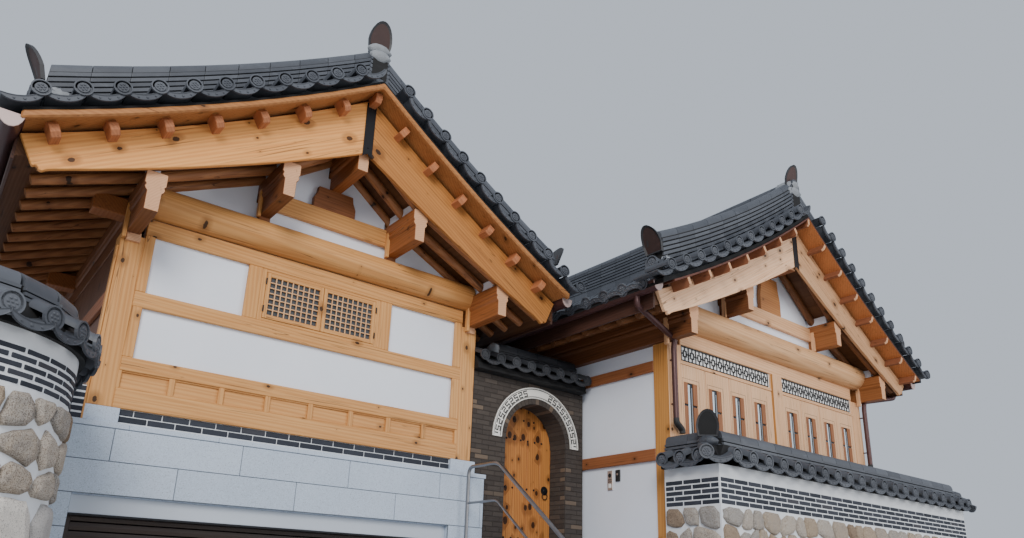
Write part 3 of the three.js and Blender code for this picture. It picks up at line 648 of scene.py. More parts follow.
def rounded_path(points, radius, steps=4):
    """The points with their bends rounded."""
    points = [Vector(point) for point in points]
    made = [points[0]]
    for before, corner, after in zip(points, points[1:], points[2:]):
        reach = min(radius, (corner - before).length / 2, (after - corner).length / 2)
        first = corner + (before - corner).normalized() * reach
        last = corner + (after - corner).normalized() * reach
        for step in range(steps + 1):
            share = step / steps
            made.append(first.lerp(corner, share).lerp(corner.lerp(last, share), share))
    return made + [points[-1]]


def joined(name, pieces):
    take(*pieces)
    if len(pieces) > 1:
        bpy.ops.object.join()
    piece = bpy.context.active_object
    piece.name = name
    piece.data.name = name
    return piece


def smooth(piece, degrees=35):
    take(piece)
    bpy.ops.object.shade_smooth_by_angle(angle=math.radians(degrees))
    return piece


def finished(name, pieces, nodes=(), body="house"):
    """Joins the parts of a piece, hangs it on its body and hides the CAD nodes it stands for."""
    piece = joined(name, pieces)
    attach(piece, body)
    if nodes:
        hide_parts(*nodes)
    return piece


def toned(piece, value):
    """Sets how light a piece is within its finish, from 0 to 1."""
    mesh = piece.data
    tone = mesh.attributes.get("tone") or mesh.attributes.new("tone", "FLOAT", "FACE")
    tone.data.foreach_set("value", [value] * len(mesh.polygons))
    return piece


def copies(model, places):
    """Copies of a model, each with its own mesh and its own tone."""
    made = []
    for place in places:
        copy = model.copy()
        copy.data = model.data.copy()
        copy.data.transform(place)
        bpy.context.scene.collection.objects.link(copy)
        made.append(toned(copy, DICE.random()))
    return made


def drop(*models):
    for model in models:
        bpy.data.objects.remove(model)


def seat(origin, ahead, across, size=(1, 1, 1)):
    """A place for a copy: its x points ahead, its y across, its z out of the surface."""
    x = Vector(ahead).normalized()
    y = Vector(across).normalized()
    z = x.cross(y)
    turn = Matrix((x, y, z)).transposed().to_4x4()
    return Matrix.Translation(Vector(origin)) @ turn @ Matrix.Diagonal((*size, 1))


# The wings' sizes, as in the part's source

LEFT = SimpleNamespace(
    name="left",
    middle=-3.075,
    half=2.015,
    front=-0.060,
    post=0.205,
    post_bottom=2.976,
    post_top=4.590,
    beam_radius=0.160,
    beam_height=4.960,
    mid_beam=(5.285, 5.490),
    eave_purlin=(1.925, 4.965),
    mid_purlin=(0.750, 5.540),
    ridge_purlin=6.115,
    overhang=0.691,
    board_apex=6.580,
    board_slopes=(0.693, 0.729),
    foot_apex=5.930,
    foot_slopes=(0.551, 0.597),
    board_reach=(2.960, 2.673),
    tile_reach=(3.040, 2.760),
    ridge_rise=0.670,
    ridge_short=0.160,
    crown_mortar=((0.04, -0.005, (0.085, 0.135, 0.075)), (0.07, 0.09, (0.07, 0.12, 0.08))),
)
RIGHT = SimpleNamespace(
    name="right",
    middle=3.121,
    half=2.315,
    front=-1.500,
    post=0.240,
    post_bottom=0.300,
    post_top=4.540,
    beam_radius=0.190,
    beam_height=4.935,
    mid_beam=(5.285, 5.490),
    eave_purlin=(2.305, 4.915),
    mid_purlin=(1.100, 5.520),
    ridge_purlin=6.405,
    overhang=0.477,
    board_apex=6.700,
    board_slopes=(0.722, 0.752),
    foot_apex=6.080,
    foot_slopes=(0.590, 0.597),
    board_reach=(3.034, 2.898),
    tile_reach=(3.260, 3.020),
    ridge_rise=0.760,
    ridge_short=0.250,
    crown_mortar=((-0.04, -0.03, (0.18, 0.13, 0.10)), (0.04, 0.08, (0.09, 0.15, 0.10))),
)
REAR_FACE, SETBACK = 5.140, 0.040
LAP, HAIR = 0.001, 0.0005
BOARD, RAFTER, SOFFIT_LAP = 0.045, 0.055, 0.012
PURLIN_HALF, PURLIN_SETBACK = 0.090, 0.062
PITCH_ACROSS, BRACKET_PITCH = 0.300, 0.398
ROOF_STEP = 0.185
BROAD_BRACKET = (0.038, 0.140, 0.175, 0.040)
NARROW_BRACKET = (0.022, 0.120, 0.262, 0.004)
BEAM_ENDS = (0.050, 2.540, 5.030)

# Tiles: their lengths, their laps, and the ridges' plates and covers

TILE_LENGTH, VERGE_TILE, EAVE_TILE = 0.30, 0.34, 0.20
TILE_LAP, TILE_TIP, TILE_ROUND, TILE_STEP = 0.02, 0.010, 50, 0.262
TILE_BED, TILE_TOP = 0.060, 0.220
COVER_RADIUS, COVER_NECK = 0.074, 0.88
PAN_WIDTH, PAN_SAG, PAN_THICKNESS = 0.25, 0.035, 0.015
CRESCENT = (0.300, 0.038, 0.048)
DISC_RADIUS, PETALS = 0.080, 6
DISC_RINGS = ((0.15, 0), (0.03, -0.011), (0.16, 0), (0.04, 0.009))
LOOKS_ALONG_X = (0, math.pi / 2, 0)
VERGE_OUT, VERGE_PITCH, FIELD_INSET = 0.300, 0.305, 0.36
RIDGE_TILE, RIDGE_INSET, RIDGE_WIDTH, RIDGE_RADIUS = 0.350, 0.200, 0.240, 0.085
RIDGE_SIDES, RIDGE_BED, PLATE_PITCH, CROWN_SAG = 0.030, 0.150, 0.056, 0.05

# Walls: spans of rails and studs, and what stands in them

LEFT_STUDS = ((-4.885, -4.796), (-3.896, -3.757), (-2.394, -2.245), (-1.366, -1.265))
LEFT_RAILS = ((2.976, 3.154), (3.315, 3.443), (3.921, 4.067), (4.624, 4.790))
RIGHT_SIDE_RAILS = ((3.095, 3.240), (4.200, 4.340))
DADO, DADO_PANELS = (3.150, 3.318), 8
LEFT_WINDOW = (-3.7567, -2.3943, 4.0673, 4.6237)
LEAF_RIM, SLOT_WIDTH = 0.042, 0.262
LEFT_BASE = (2.8363, 2.9757)
STUB = (-5.236, -5.092, -0.070, 0.130, 2.8365, 3.130)
PODIUM_LOW = Vector((-5.500, -0.100, 0))
PODIUM_HIGH = Vector((-0.880, 5.180, 2.789))
SLAB, SLAB_SHIFT, SLAB_BED_TOP, BEHIND_GATE = 1.115, 0.55, 2.788, 0.31
SLAB_ROWS = (0.0, 0.28, 0.56, 0.84, 1.12, 1.40, 1.675, 1.955, 2.230, 2.507, 2.787)

# The gate, its steps and the low walls

GATE_LEFT, GATE_RIGHT, GATE_DEPTH, GATE_TOP = -1.060, 0.805, 0.300, 4.100
ARCH_RADIUS, SPRING, SILL = 0.500, 3.345, 1.960
RISERS, TREAD, LANDING = 11, 0.225, 0.730
STEP_RISE = SILL / RISERS
KEY_STROKES = (((0, 4), (3, 4)), ((3, 4), (3, 2)), ((3, 2), (0, 2)), ((0, 2), (0, 0)), ((0, 0), (3, 0)))
STUD_ROWS = (
    (3.682, 3, 0.036, 0.172),
    (3.418, 6, 0.052, 0.118),
    (2.798, 6, 0.052, 0.118),
    (2.180, 6, 0.052, 0.118),
)
GARDEN = SimpleNamespace(left=0.655, right=6.800, front=-2.272, rear=-1.515, wall=0.250, top=2.940)
STREET = SimpleNamespace(x=-6.340, y=-1.057, radius=1.000, straight=1.400, rear=-0.1203)
COPING_HALF = GARDEN.wall / 2 + 0.110
COPING_FALL, COPING_SIZE, COPING_PLATES, COPING_RIDGE = 0.42, 0.92, 3, 0.205
GARDEN_TOP, STREET_FOOT, STREET_TOP = 3.340, 3.025, 3.405
BRICK_ROWS, BRICK_DEPTH, STONE_SHAPES = 5, 0.022, 7

# CAD nodes that keep their shape, by the finish they get

PLAIN_NODES = {
    "plaster": (
        "left_front_wall",
        "left_rear_wall",
        "left_east_wall",
        "right_front_wall",
        "right_rear_wall",
        "right_west_wall",
        "right_east_wall",
    ),
    "shaded_wall": ("left_west_wall",),
    "gate_mortar": ("gate_wall_left", "gate_wall_right", "gate_wall_head"),
    "white_mortar": ("garden_wall", "street_wall"),
    "granite": ("podium", "gate_passage_floor", "right_plinth"),
    "right_pine_y": ("right_floor",),
}


# Lines of the roofs


def way(side):
    return -1 if side == 0 else 1


def board_top(wing, side, out):
    return wing.board_apex - wing.board_slopes[side] * out + 0.04 * out * out


def board_foot(wing, side, out):
    return wing.foot_apex - wing.foot_slopes[side] * out + 0.03 * out * out


def purlin_line(wing, out):
    mid_out, mid_top = wing.mid_purlin
    eave_out, eave_top = wing.eave_purlin
    if out <= mid_out:
        return wing.ridge_purlin + (mid_top - wing.ridge_purlin) * out / mid_out
    return mid_top - (mid_top - eave_top) * (out - mid_out) / (eave_out - mid_out)


def soffit_line(wing, side, out):
    return max(board_foot(wing, side, out) + 0.04, purlin_line(wing, out)) + 2 * RAFTER - SOFFIT_LAP


def gable(wing, at_front):
    """A gable end: its wall's face, the bargeboards' face, the verge tiles' edge and its way out."""
    out = -1 if at_front else 1
    wall = wing.front if at_front else REAR_FACE
    face = wall + out * wing.overhang
    name = "front" if at_front else "rear"
    return SimpleNamespace(name=name, wall=wall, face=face, edge=face + out * VERGE_OUT, out=out)


def ends_of(wing, place):
    """One of the places of both gables, front and rear."""
    return [getattr(gable(wing, at_front), place) for at_front in (True, False)]


def roof_line(wing, height, rise, reach):
    """Points of a roof line in X and Z, from one eave over the ridge to the other."""
    points = []
    for side in (0, 1):
        count = round(reach[side] / ROOF_STEP)
        outs = [reach[side] * index / count for index in range(count + 1)]
        half = [(wing.middle + way(side) * out, height(wing, side, out) + rise) for out in outs]
        points += half[::-1] if side == 0 else half[1:]
    return points


def strip(low, high, span, look, edge=0.0):
    """A board between two roof lines."""
    return carried(low + high[::-1], "y", *sorted(span), look, edge)


def along_slope(wing, side, start, end, step, rise=0.0):
    """Places down a slope at even steps: point above the boards, and the way down."""
    made = []
    out = start
    while out <= end:
        point = Vector((wing.middle + way(side) * out, 0, board_top(wing, side, out) + rise))
        ahead = Vector((way(side), 0, -wing.board_slopes[side] + 0.08 * out)).normalized()
        made.append((out, point, ahead))
        out += step * ahead.x * way(side)
    return made


# Tiles: models lie with x down the slope, y across it and z out of the roof


def arc(radius, start, end, steps, squash=1.0):
    turns = [math.radians(start + (end - start) * index / steps) for index in range(steps + 1)]
    return [(radius * math.cos(turn), radius * math.sin(turn) * squash) for turn in turns]


def tipped(piece, length):
    for vertex in piece.data.vertices:
        vertex.co.z += TILE_TIP * vertex.co.x / length
    return smooth(piece, TILE_ROUND)


def cover_model(length):
    """A half-round cover tile, narrower where the tile above it laps it."""
    piece = carried(arc(COVER_RADIUS, 0, 180, 8), "x", -TILE_LAP, length, "clay")
    for vertex in piece.data.vertices:
        if vertex.co.x < 0:
            vertex.co.y *= COVER_NECK
            vertex.co.z *= COVER_NECK
    return tipped(piece, length)


def dish(width, sag, steps, depth):
    """A hollow outline across a pan tile: its upper line, and its lower one by the depth at a share."""
    shares = [2 * index / steps - 1 for index in range(steps + 1)]
    top = [(width / 2 * share, sag * share**2) for share in shares]
    low = [(y, z - depth(share)) for (y, z), share in zip(top, shares)]
    return top + low[::-1]


def pan_model(length, width=PAN_WIDTH, sag=PAN_SAG):
    outline = dish(width, sag, 6, lambda share: PAN_THICKNESS)
    return tipped(carried(outline, "x", -TILE_LAP, length, "clay"), length)


def lifted(piece, length, fall):
    """Raises a tile's rear, so that its front end hangs."""
    for vertex in piece.data.vertices:
        vertex.co.z += (length - vertex.co.x) * fall
    return piece


def disc_model(length, fall=0.0):
    """A short cover tile that ends in a round plate with raised rings and a flower."""
    radius = DISC_RADIUS
    cover = lifted(carried(arc(radius * 0.9, 0, 180, 8), "x", 0, length, "clay"), length, fall)
    smooth(cover, TILE_ROUND)
    let_go()
    bpy.ops.mesh.primitive_cylinder_add(
        vertices=20, radius=radius, depth=0.022, location=(length, 0, 0), rotation=LOOKS_ALONG_X
    )
    plate = fixed()
    pick_end(plate)
    for share, depth in DISC_RINGS:
        bpy.ops.mesh.inset(thickness=radius * share, depth=0)
        if depth:
            bpy.ops.transform.translate(value=(depth, 0, 0))
    edit_done()
    dressed(plate, "clay")
    front = length + 0.009
    petals = []
    for index in range(PETALS):
        turn = index * 2 * math.pi / PETALS
        centre = (front, 0.34 * radius * math.cos(turn), 0.34 * radius * math.sin(turn))
        petals.append(boss(centre, 0.15 * radius, 0.007))
    petals.append(boss((front, 0, 0), 0.13 * radius, 0.008))
    return joined("disc_model", [cover, plate] + petals)


def drip_model(length, fall=0.0):
    """A pan tile that ends in a crescent plate with a rim and three bosses."""
    width, sag, thick = CRESCENT
    outline = dish(width, sag, 10, lambda share: thick * (1 - 0.5 * share**4))
    plate = carried(outline, "x", length - 0.006, length + 0.014, "clay")
    pick_end(plate)
    bpy.ops.mesh.inset(thickness=0.007, depth=0)
    bpy.ops.transform.translate(value=(-0.006, 0, 0))
    edit_done()
    pan = lifted(pan_model(length, width * 0.94, sag * 0.9), length, fall)
    bosses = []
    for y, radius in ((-0.070, 0.011), (0, 0.014), (0.070, 0.011)):
        height = sag * (2 * y / width) ** 2 - thick / 2
        bosses.append(boss((length + 0.006, y, height), radius, 0.009))
    return joined("drip_model", [plate, pan] + bosses)


def pick_end(piece):
    """Opens a piece with only the face at its far X end chosen."""
    edit_all(piece)
    bpy.ops.mesh.select_all(action="DESELECT")
    edit_done()
    max(piece.data.polygons, key=lambda polygon: polygon.center.x).select = True
    bpy.ops.object.mode_set(mode="EDIT")


def boss(centre, radius, rise):
    """A low stud that looks along X."""
    let_go()
    bpy.ops.mesh.primitive_cone_add(
        vertices=6,
        radius1=radius,
        radius2=radius * 0.5,
        depth=rise,
        location=(centre[0] + rise / 2, centre[1], centre[2]),
        rotation=LOOKS_ALONG_X,
    )
    return dressed(fixed(), "clay")


def ridge_cover_model():
    """A tall round cover: half a circle on low straight sides."""
    outline = [(RIDGE_RADIUS, 0)]
    outline += [(y, z + RIDGE_SIDES) for y, z in arc(RIDGE_RADIUS, 0, 180, 8)]
    outline.append((-RIDGE_RADIUS, 0))
    return smooth(carried(outline, "x", 0.004, RIDGE_TILE - 0.004, "clay"), TILE_ROUND)


def horn_model(width, height, lean, face_look="horn_face"):
    """The upright end plate of a ridge: a rounded arch, sunk on its outer face."""
    half, thick, rim, sink = width / 2, 0.034, 0.022, 0.014
    low = 0.35 * height
    outline = [(half * 0.86, 0), (half, low)]
    outline += [(y, low + z) for y, z in arc(half, 10, 170, 12, (height - low) / half)]
    outline += [(-half, low), (-half * 0.86, 0)]
    piece = carried(outline, "x", 0, thick, "dark_clay")
    pick_end(piece)
    bpy.ops.mesh.inset(thickness=rim, depth=0)
    bpy.ops.transform.translate(value=(-sink, 0, 0))
    edit_done()
    piece.data.materials.append(LOOKS[face_look])
    for face in piece.data.polygons:
        if face.normal.x > 0.9 and abs(face.center.x - (thick - sink)) < 0.004:
            face.material_index = 1
    for vertex in piece.data.vertices:
        vertex.co.x += lean * height * (vertex.co.z / height) ** 1.5
    return piece


def mortar_lump(place, size, look="grey_mortar", rough=0.16):
    let_go()
    bpy.ops.mesh.primitive_ico_sphere_add(subdivisions=3, radius=1)
    lump = bpy.context.active_object
    edit_all(lump)
    bpy.ops.transform.vertex_random(offset=rough, seed=5)
    edit_done()
    lump.data.transform(place @ Matrix.Diagonal((*size, 1)))
    return smooth(dressed(lump, look), 60)


def make_tile_models():
    return SimpleNamespace(
        cover=cover_model(TILE_LENGTH),
        pan=pan_model(TILE_LENGTH),
        disc=disc_model(VERGE_TILE),
        drip=drip_model(VERGE_TILE),
        eave_disc=disc_model(EAVE_TILE),
        eave_drip=drip_model(EAVE_TILE),
        coping_disc=disc_model(EAVE_TILE, COPING_FALL),
        coping_drip=drip_model(EAVE_TILE, COPING_FALL),
        ridge=ridge_cover_model(),
        layer=block((0.002, RIDGE_TILE - 0.002), (-0.5, 0.5), (0, 1), "clay"),
        core=block((0, RIDGE_TILE), (-0.5, 0.5), (0, 1), "soot", 0),
        horn=horn_model(0.27, 0.31, 0.50),
        crown_horn=horn_model(0.275, 0.36, 0.25),
        # The corner horn's sunk face is near black: painted shade
        corner_horn=horn_model(0.25, 0.30, 0.15, "soot"),
    )


def roof_field(wing, side, tiles):
    """Covers and pans down one slope between the verge ridges, and the tiles that end them."""
    front, rear = ends_of(wing, "edge")
    front, rear = front + FIELD_INSET, rear - FIELD_INSET
    count = round((rear - front) / PITCH_ACROSS)
    pitch = (rear - front) / count
    across = Vector((0, -way(side), 0))

    def places(rows, lift):
        on_lanes, between = [], []
        for _, point, ahead in rows:
            for column in range(count + 1):
                place = Vector((point.x, front + pitch * column, point.z))
                on_lanes.append(seat(place + UP * lift, ahead, across))
                if column < count:
                    between.append(seat(place + Vector((0, pitch / 2, 0)), ahead, across))
        return on_lanes, between

    end = wing.tile_reach[side]
    covers, pans = places(along_slope(wing, side, 0.10, end - 0.30, TILE_STEP, 0.115), 0.022)
    discs, drips = places(along_slope(wing, side, end - 0.21, end - 0.20, 1, 0.118), 0.024)
    name = f"{wing.name}_roof_slope_{side + 1}"
    nodes = (f"{wing.name}_roof_tiles",)
    made = copies(tiles.cover, covers) + copies(tiles.eave_disc, discs)
    finished(f"{name}_covers", made, nodes)
    made = copies(tiles.pan, pans) + copies(tiles.eave_drip, drips)
    finished(f"{name}_pans", made, nodes)


def verge_tiles(wing, at_front, tiles):
    """Disc and crescent tiles that look out over a gable."""
    end = gable(wing, at_front)
    ahead = Vector((0, end.out, 0))

    def places(starts, rise, proud, size=(1, 1, 1)):
        made = []
        for side in (0, 1):
            stop = wing.tile_reach[side] - 0.03
            for _, point, down in along_slope(wing, side, starts[side] * VERGE_PITCH, stop, VERGE_PITCH):
                lift = Vector((-down.z, 0, down.x)) * way(side)
                at = Vector((point.x, end.edge - end.out * (VERGE_TILE - proud), point.z)) + lift * rise
                made.append(seat(at, ahead, lift.cross(ahead), size))
        return made

    discs = copies(tiles.disc, places((0.60, 0.46), 0.226, 0.012, (1, 0.92, 0.84)))
    drips = copies(tiles.drip, places((0.14, 1), 0.160, 0.0))
    name = f"{wing.name}_{end.name}_verge_tiles"
    finished(name, discs + drips, (f"{wing.name}_roof_tiles",))


def tile_bed(wing):
    """The bedding below the tiles, near black as painted shade."""
    front, rear = ends_of(wing, "edge")
    reach = [out - 0.05 for out in wing.tile_reach]
    low = roof_line(wing, board_top, TILE_BED, reach)
    high = roof_line(wing, board_top, TILE_BED + 0.055, reach)
    made = strip(low, high, (front + 0.06, rear - 0.06), "soot")
    finished(f"{wing.name}_roof_bed", [made], (f"{wing.name}_roof_tiles",))


def chain(points):
    """Each stretch of a line: its start, its way and its length over a ridge tile's."""
    made = []
    for start, end in zip(points, points[1:]):
        made.append((start, (end - start).normalized(), (end - start).length / RIDGE_TILE))
    return made


def ridge_run(stretches, tiles, layers, pitch, width, size=1.0, bed=0.0):
    """Thin plates with dark gaps between them, where a near-black core stands as painted shade; round
    covers on top and a bed below.
    """
    made = []

    def seats(rise, spread, height):
        places = []
        for start, ahead, reach in stretches:
            upright = Matrix((ahead, UP.cross(ahead).normalized(), UP)).transposed().to_4x4()
            sized = Matrix.Diagonal((reach, spread, height, 1))
            places.append(Matrix.Translation(start + UP * rise) @ upright @ sized)
        return places

    for layer in range(layers):
        made += copies(tiles.layer, seats(pitch * layer, width - 0.006 * layer, pitch * 0.68))
    made += copies(tiles.core, seats(0.004, width - 0.060, pitch * layers - 0.008))
    if bed:
        made += copies(tiles.layer, seats(-bed, width - 0.024, bed + LAP))
    return made + copies(tiles.ridge, seats(pitch * layers - 0.012, size, size))


def ridge_end(foot, out, tiles):
    """The horn, the round caps and the mortar where a descending ridge ends."""
    across = UP.cross(out)
    made = copies(tiles.horn, [seat(foot + UP * 0.215 + out * 0.012, out, across)])
    made += copies(tiles.eave_disc, [seat(foot + UP * 0.085 - out * 0.11, out, across, (1, 1.1, 1.1))])
    for side in (-1, 1):
        facing = across * side
        cap = seat(foot + UP * 0.075 - out * 0.03, facing, UP.cross(facing), (0.62, 1, 0.9))
        made += copies(tiles.eave_disc, [cap])
        place = seat(foot + UP * 0.125 - out * 0.10 + facing * 0.080, out, across)
        made.append(mortar_lump(place, (0.105, 0.052, 0.085), rough=0.20))
    return made


def ridges(wing, tiles):
    """The ridges down both verges and along the crown, with their horns and mortar."""
    made = []
    base = TILE_TOP + 0.008
    room = wing.ridge_rise - 0.010 - base - RIDGE_RADIUS - RIDGE_SIDES
    layers = round(room / PLATE_PITCH)

    def run(line):
        return ridge_run(chain(line), tiles, layers, room / layers, RIDGE_WIDTH, 1.0, RIDGE_BED)

    for at_front in (True, False):
        end = gable(wing, at_front)
        lane = end.edge - end.out * (RIDGE_INSET + RIDGE_WIDTH / 2)
        for side in (0, 1):
            reach = wing.tile_reach[side] - wing.ridge_short
            count = round(reach / 0.30)
            line = []
            for index in range(count + 1):
                out = reach * index / count
                height = board_top(wing, side, out) + base
                line.append(Vector((wing.middle + way(side) * out, lane, height)))
            made += run(line)
            made += ridge_end(line[-1], Vector((way(side), 0, 0)), tiles)
    front, rear = ends_of(wing, "edge")
    front, rear = front + RIDGE_INSET, rear - RIDGE_INSET
    count = round((rear - front) / RIDGE_TILE)
    line = []
    for index in range(count + 1):
        lane = front + (rear - front) * index / count
        sag = CROWN_SAG * (2 * index / count - 1) ** 2 - CROWN_SAG
        line.append(Vector((wing.middle, lane, wing.board_apex + base + sag)))
    made += run(line)
    for lane, out in ((front, -1), (rear, 1)):
        ahead = Vector((0, out, 0))
        across = UP.cross(ahead)
        foot = Vector((wing.middle, lane - out * 0.10, wing.board_apex + 0.61))
        made += copies(tiles.crown_horn, [seat(foot, ahead, across)])
        for reach, drop_by, size in wing.crown_mortar:
            made.append(mortar_lump(seat(foot - UP * drop_by + ahead * reach, ahead, across), size))
    finished(f"{wing.name}_ridge_tiles", made, (f"{wing.name}_ridges",))


# Boards of the verges


def board_end(wing, side):
    """The curly cut of a bargeboard's lower end, from its foot to its tip."""
    reach = wing.board_reach[side]

    def foot(out):
        return board_foot(wing, side, out)

    cut = reach - 0.18
    points = [(cut - 0.10, foot(cut - 0.10)), (cut - 0.05, foot(cut - 0.05) - 0.004)]
    points += [(cut - 0.02, foot(cut) - 0.010), (cut + 0.004, foot(cut) - 0.006)]
    points += [(cut + 0.012, foot(cut) + 0.018), (cut + 0.030, foot(cut) + 0.026)]
    points += [(cut + 0.044, foot(cut) + 0.012), (cut + 0.058, foot(cut) + 0.018)]
    points += [(reach, board_top(wing, side, reach))]
    return points


def bargeboard(wing, side, span):
    reach = wing.board_reach[side]
    count = 14
    outs = [reach * index / count for index in range(count + 1)]
    top = [(out, board_top(wing, side, out)) for out in outs[:-1]]
    low = [(out, board_foot(wing, side, out)) for out in outs if out < reach - 0.30]
    ring = low + board_end(wing, side) + top[::-1]
    points = [(wing.middle + way(side) * out, height) for out, height in ring]
    # Each slope's board takes its own copy of the pine, painted lighter on the west slope and darker on
    # the east
    return carried(points, "y", *sorted(span), f"{wing.name}_pine_slope_{side}", 0.005)


def bracket_model(wing, out):
    """A short joist under the verge: broad and five-sided, or narrow with a pale end."""
    broad = wing is LEFT
    half, deep, reach, chamfer = BROAD_BRACKET if broad else NARROW_BRACKET
    outline = [(0, 0), (reach - chamfer, 0), (reach, -chamfer)]
    outline += [(reach, -deep * 0.72), (reach - 0.03, -deep), (0, -deep)]
    points = [(out * y, z) for y, z in outline]
    piece = carried(points, "x", -half, half, f"{wing.name}_bracket", 0.004)
    return piece if broad else pale_ends(piece, (0, out, 0), 0.6)


def pale_ends(piece, direction, least=0.9, look="end_grain"):
    piece.data.materials.append(LOOKS[look])
    index = len(piece.data.materials) - 1
    for face in piece.data.polygons:
        if face.normal.dot(Vector(direction)) > least:
            face.material_index = index
    return piece


def verge_woodwork(wing, at_front):
    """Bargeboards, the board over them, the short joists below it and the iron strap."""
    end = gable(wing, at_front)
    inner = end.face - end.out * BOARD
    # The verge pine is darkened as painted shade; on the right wing only the west slope's faces keep it,
    # and the east slope's take a lit copy
    look = f"{wing.name}_verge_pine"
    made = [bargeboard(wing, side, (inner, end.face)) for side in (0, 1)]
    low = roof_line(wing, board_top, 0.034, wing.board_reach)
    high = roof_line(wing, board_top, TILE_BED - 0.002, wing.board_reach)
    cover = strip(low, high, (inner, end.edge - end.out * 0.045), look)
    made.append(cover)
    if wing is RIGHT:
        cover.data.materials.append(LOOKS["right_verge_bright"])
        for polygon in cover.data.polygons:
            polygon.material_index = int(polygon.center.x > wing.middle)
    else:
        reach = [out + 0.03 for out in wing.board_reach]
        low = roof_line(wing, board_top, 0.016, reach)
        high = roof_line(wing, board_top, TILE_BED + 0.026, reach)
        span = (end.edge - end.out * 0.110, end.edge - end.out * 0.040)
        made.append(smooth(strip(low, high, span, look, 0.014), 40))
    model = bracket_model(wing, end.out)
    seats = []
    for side in (0, 1):
        out = side * BRACKET_PITCH
        while out < wing.board_reach[side] - 0.10:
            tilt = math.atan(wing.board_slopes[side] - 0.08 * out) * way(side) if out else 0
            x = wing.middle + way(side) * out
            place = Vector((x, end.face - end.out * 0.01, board_top(wing, side, out) + 0.040))
            seats.append(Matrix.Translation(place) @ Matrix.Rotation(tilt, 4, "Y"))
            out += BRACKET_PITCH
    made += copies(model, seats)
    drop(model)
    name = f"{wing.name}_{end.name}"
    finished(f"{name}_verge_boards", made, (f"{name}_bargeboards",))
    finished(f"{name}_strap", iron_strap(wing, end))


def iron_strap(wing, end):
    """The iron strap where two bargeboards meet, with a bent rim and nail heads."""
    half, shoulder, thick, rim_out = 0.056, 0.038, 0.006, 0.010
    low, high = wing.foot_apex - 0.012, wing.board_apex - 0.015
    plate = [(-half, low - shoulder), (0, low), (half, low - shoulder)]
    plate += [(half, high - shoulder), (0, high), (-half, high - shoulder)]
    outlines = [(plate, 0.0005, thick, 0.0015)]
    for x in (-half + 0.008, half - 0.008):
        left, right, foot, top = x - 0.006, x + 0.006, low - 0.03, high - 0.04
        rim = [(left, foot), (right, foot), (right, top), (left, top)]
        outlines.append((rim, thick, rim_out, 0.002))
    made = []
    for outline, back, front, edge in outlines:
        span = sorted((end.face + end.out * back, end.face + end.out * front))
        made.append(carried([(wing.middle + x, z) for x, z in outline], "y", *span, "iron", edge))
    for height in (low + 0.07, high - 0.10):
        centre = Vector((wing.middle, end.face + end.out * thick, height))
        made.append(bar(centre, centre + Vector((0, end.out * 0.008, 0)), 0.011, "iron", 10, 0.006))
    return made


# Purlins, beams and rafters


def purlin_profile(x, top):
    """A purlin with its moulded foot, on a narrower support."""
    half, support = PURLIN_HALF, 0.060
    right = [(half - 0.012, 0), (half, -0.012), (half, -0.118), (half - 0.014, -0.136)]
    right += [(half - 0.004, -0.158), (half - 0.014, -0.182)]
    right += [(support + 0.002, -0.196), (support, -0.372)]
    ring = right + [(-dx, dz) for dx, dz in right[::-1]]
    return [(x + dx, top + dz) for dx, dz in ring]


def purlin(wing, out, top):
    front, rear = ends_of(wing, "face")
    profile = purlin_profile(wing.middle + out, top)
    # The purlin pine is darkened as painted shade, darkest on the west purlins
    look = "west_purlin_pine" if out < 0 else f"{wing.name}_purlin_pine"
    piece = carried(profile, "y", front + PURLIN_SETBACK, rear - PURLIN_SETBACK, look, 0.004)
    pale_ends(piece, FRONT)
    return pale_ends(piece, -FRONT)


def king_post(wing, span):
    """A broad post with straight sides below the ridge purlin."""
    foot, top = wing.mid_beam[1] - LAP, wing.ridge_purlin - 0.37
    rise = top - foot
    right = [(0.25, 0), (0.25, 0.42), (0.215, 0.72), (0.205, 1.0)]
    ring = [(x, foot + rise * share) for x, share in right]
    outline = ring + [(-x, z) for x, z in ring[::-1]]
    points = [(wing.middle + x, z) for x, z in outline]
    return carried(points, "y", *span, f"{wing.name}_king_pine", 0.005)


def gable_log(wing, end):
    """The round cross beam, cut flat where the wall stands behind it."""
    reach = Vector((wing.eave_purlin[0] - 0.06, 0, 0))
    middle = Vector((wing.middle, end.wall, wing.beam_height))
    look = "left_pine_x" if wing is LEFT else "right_log_pine"
    log = bar(middle - reach, middle + reach, wing.beam_radius, look, 28)
    edit_all(log)
    bpy.ops.mesh.bisect(
        plane_co=(0, end.wall - end.out * (SETBACK - 0.001), 0),
        plane_no=(0, -end.out, 0),
        use_fill=True,
        clear_outer=True,
    )
    edit_done()
    return smooth(log, 40)


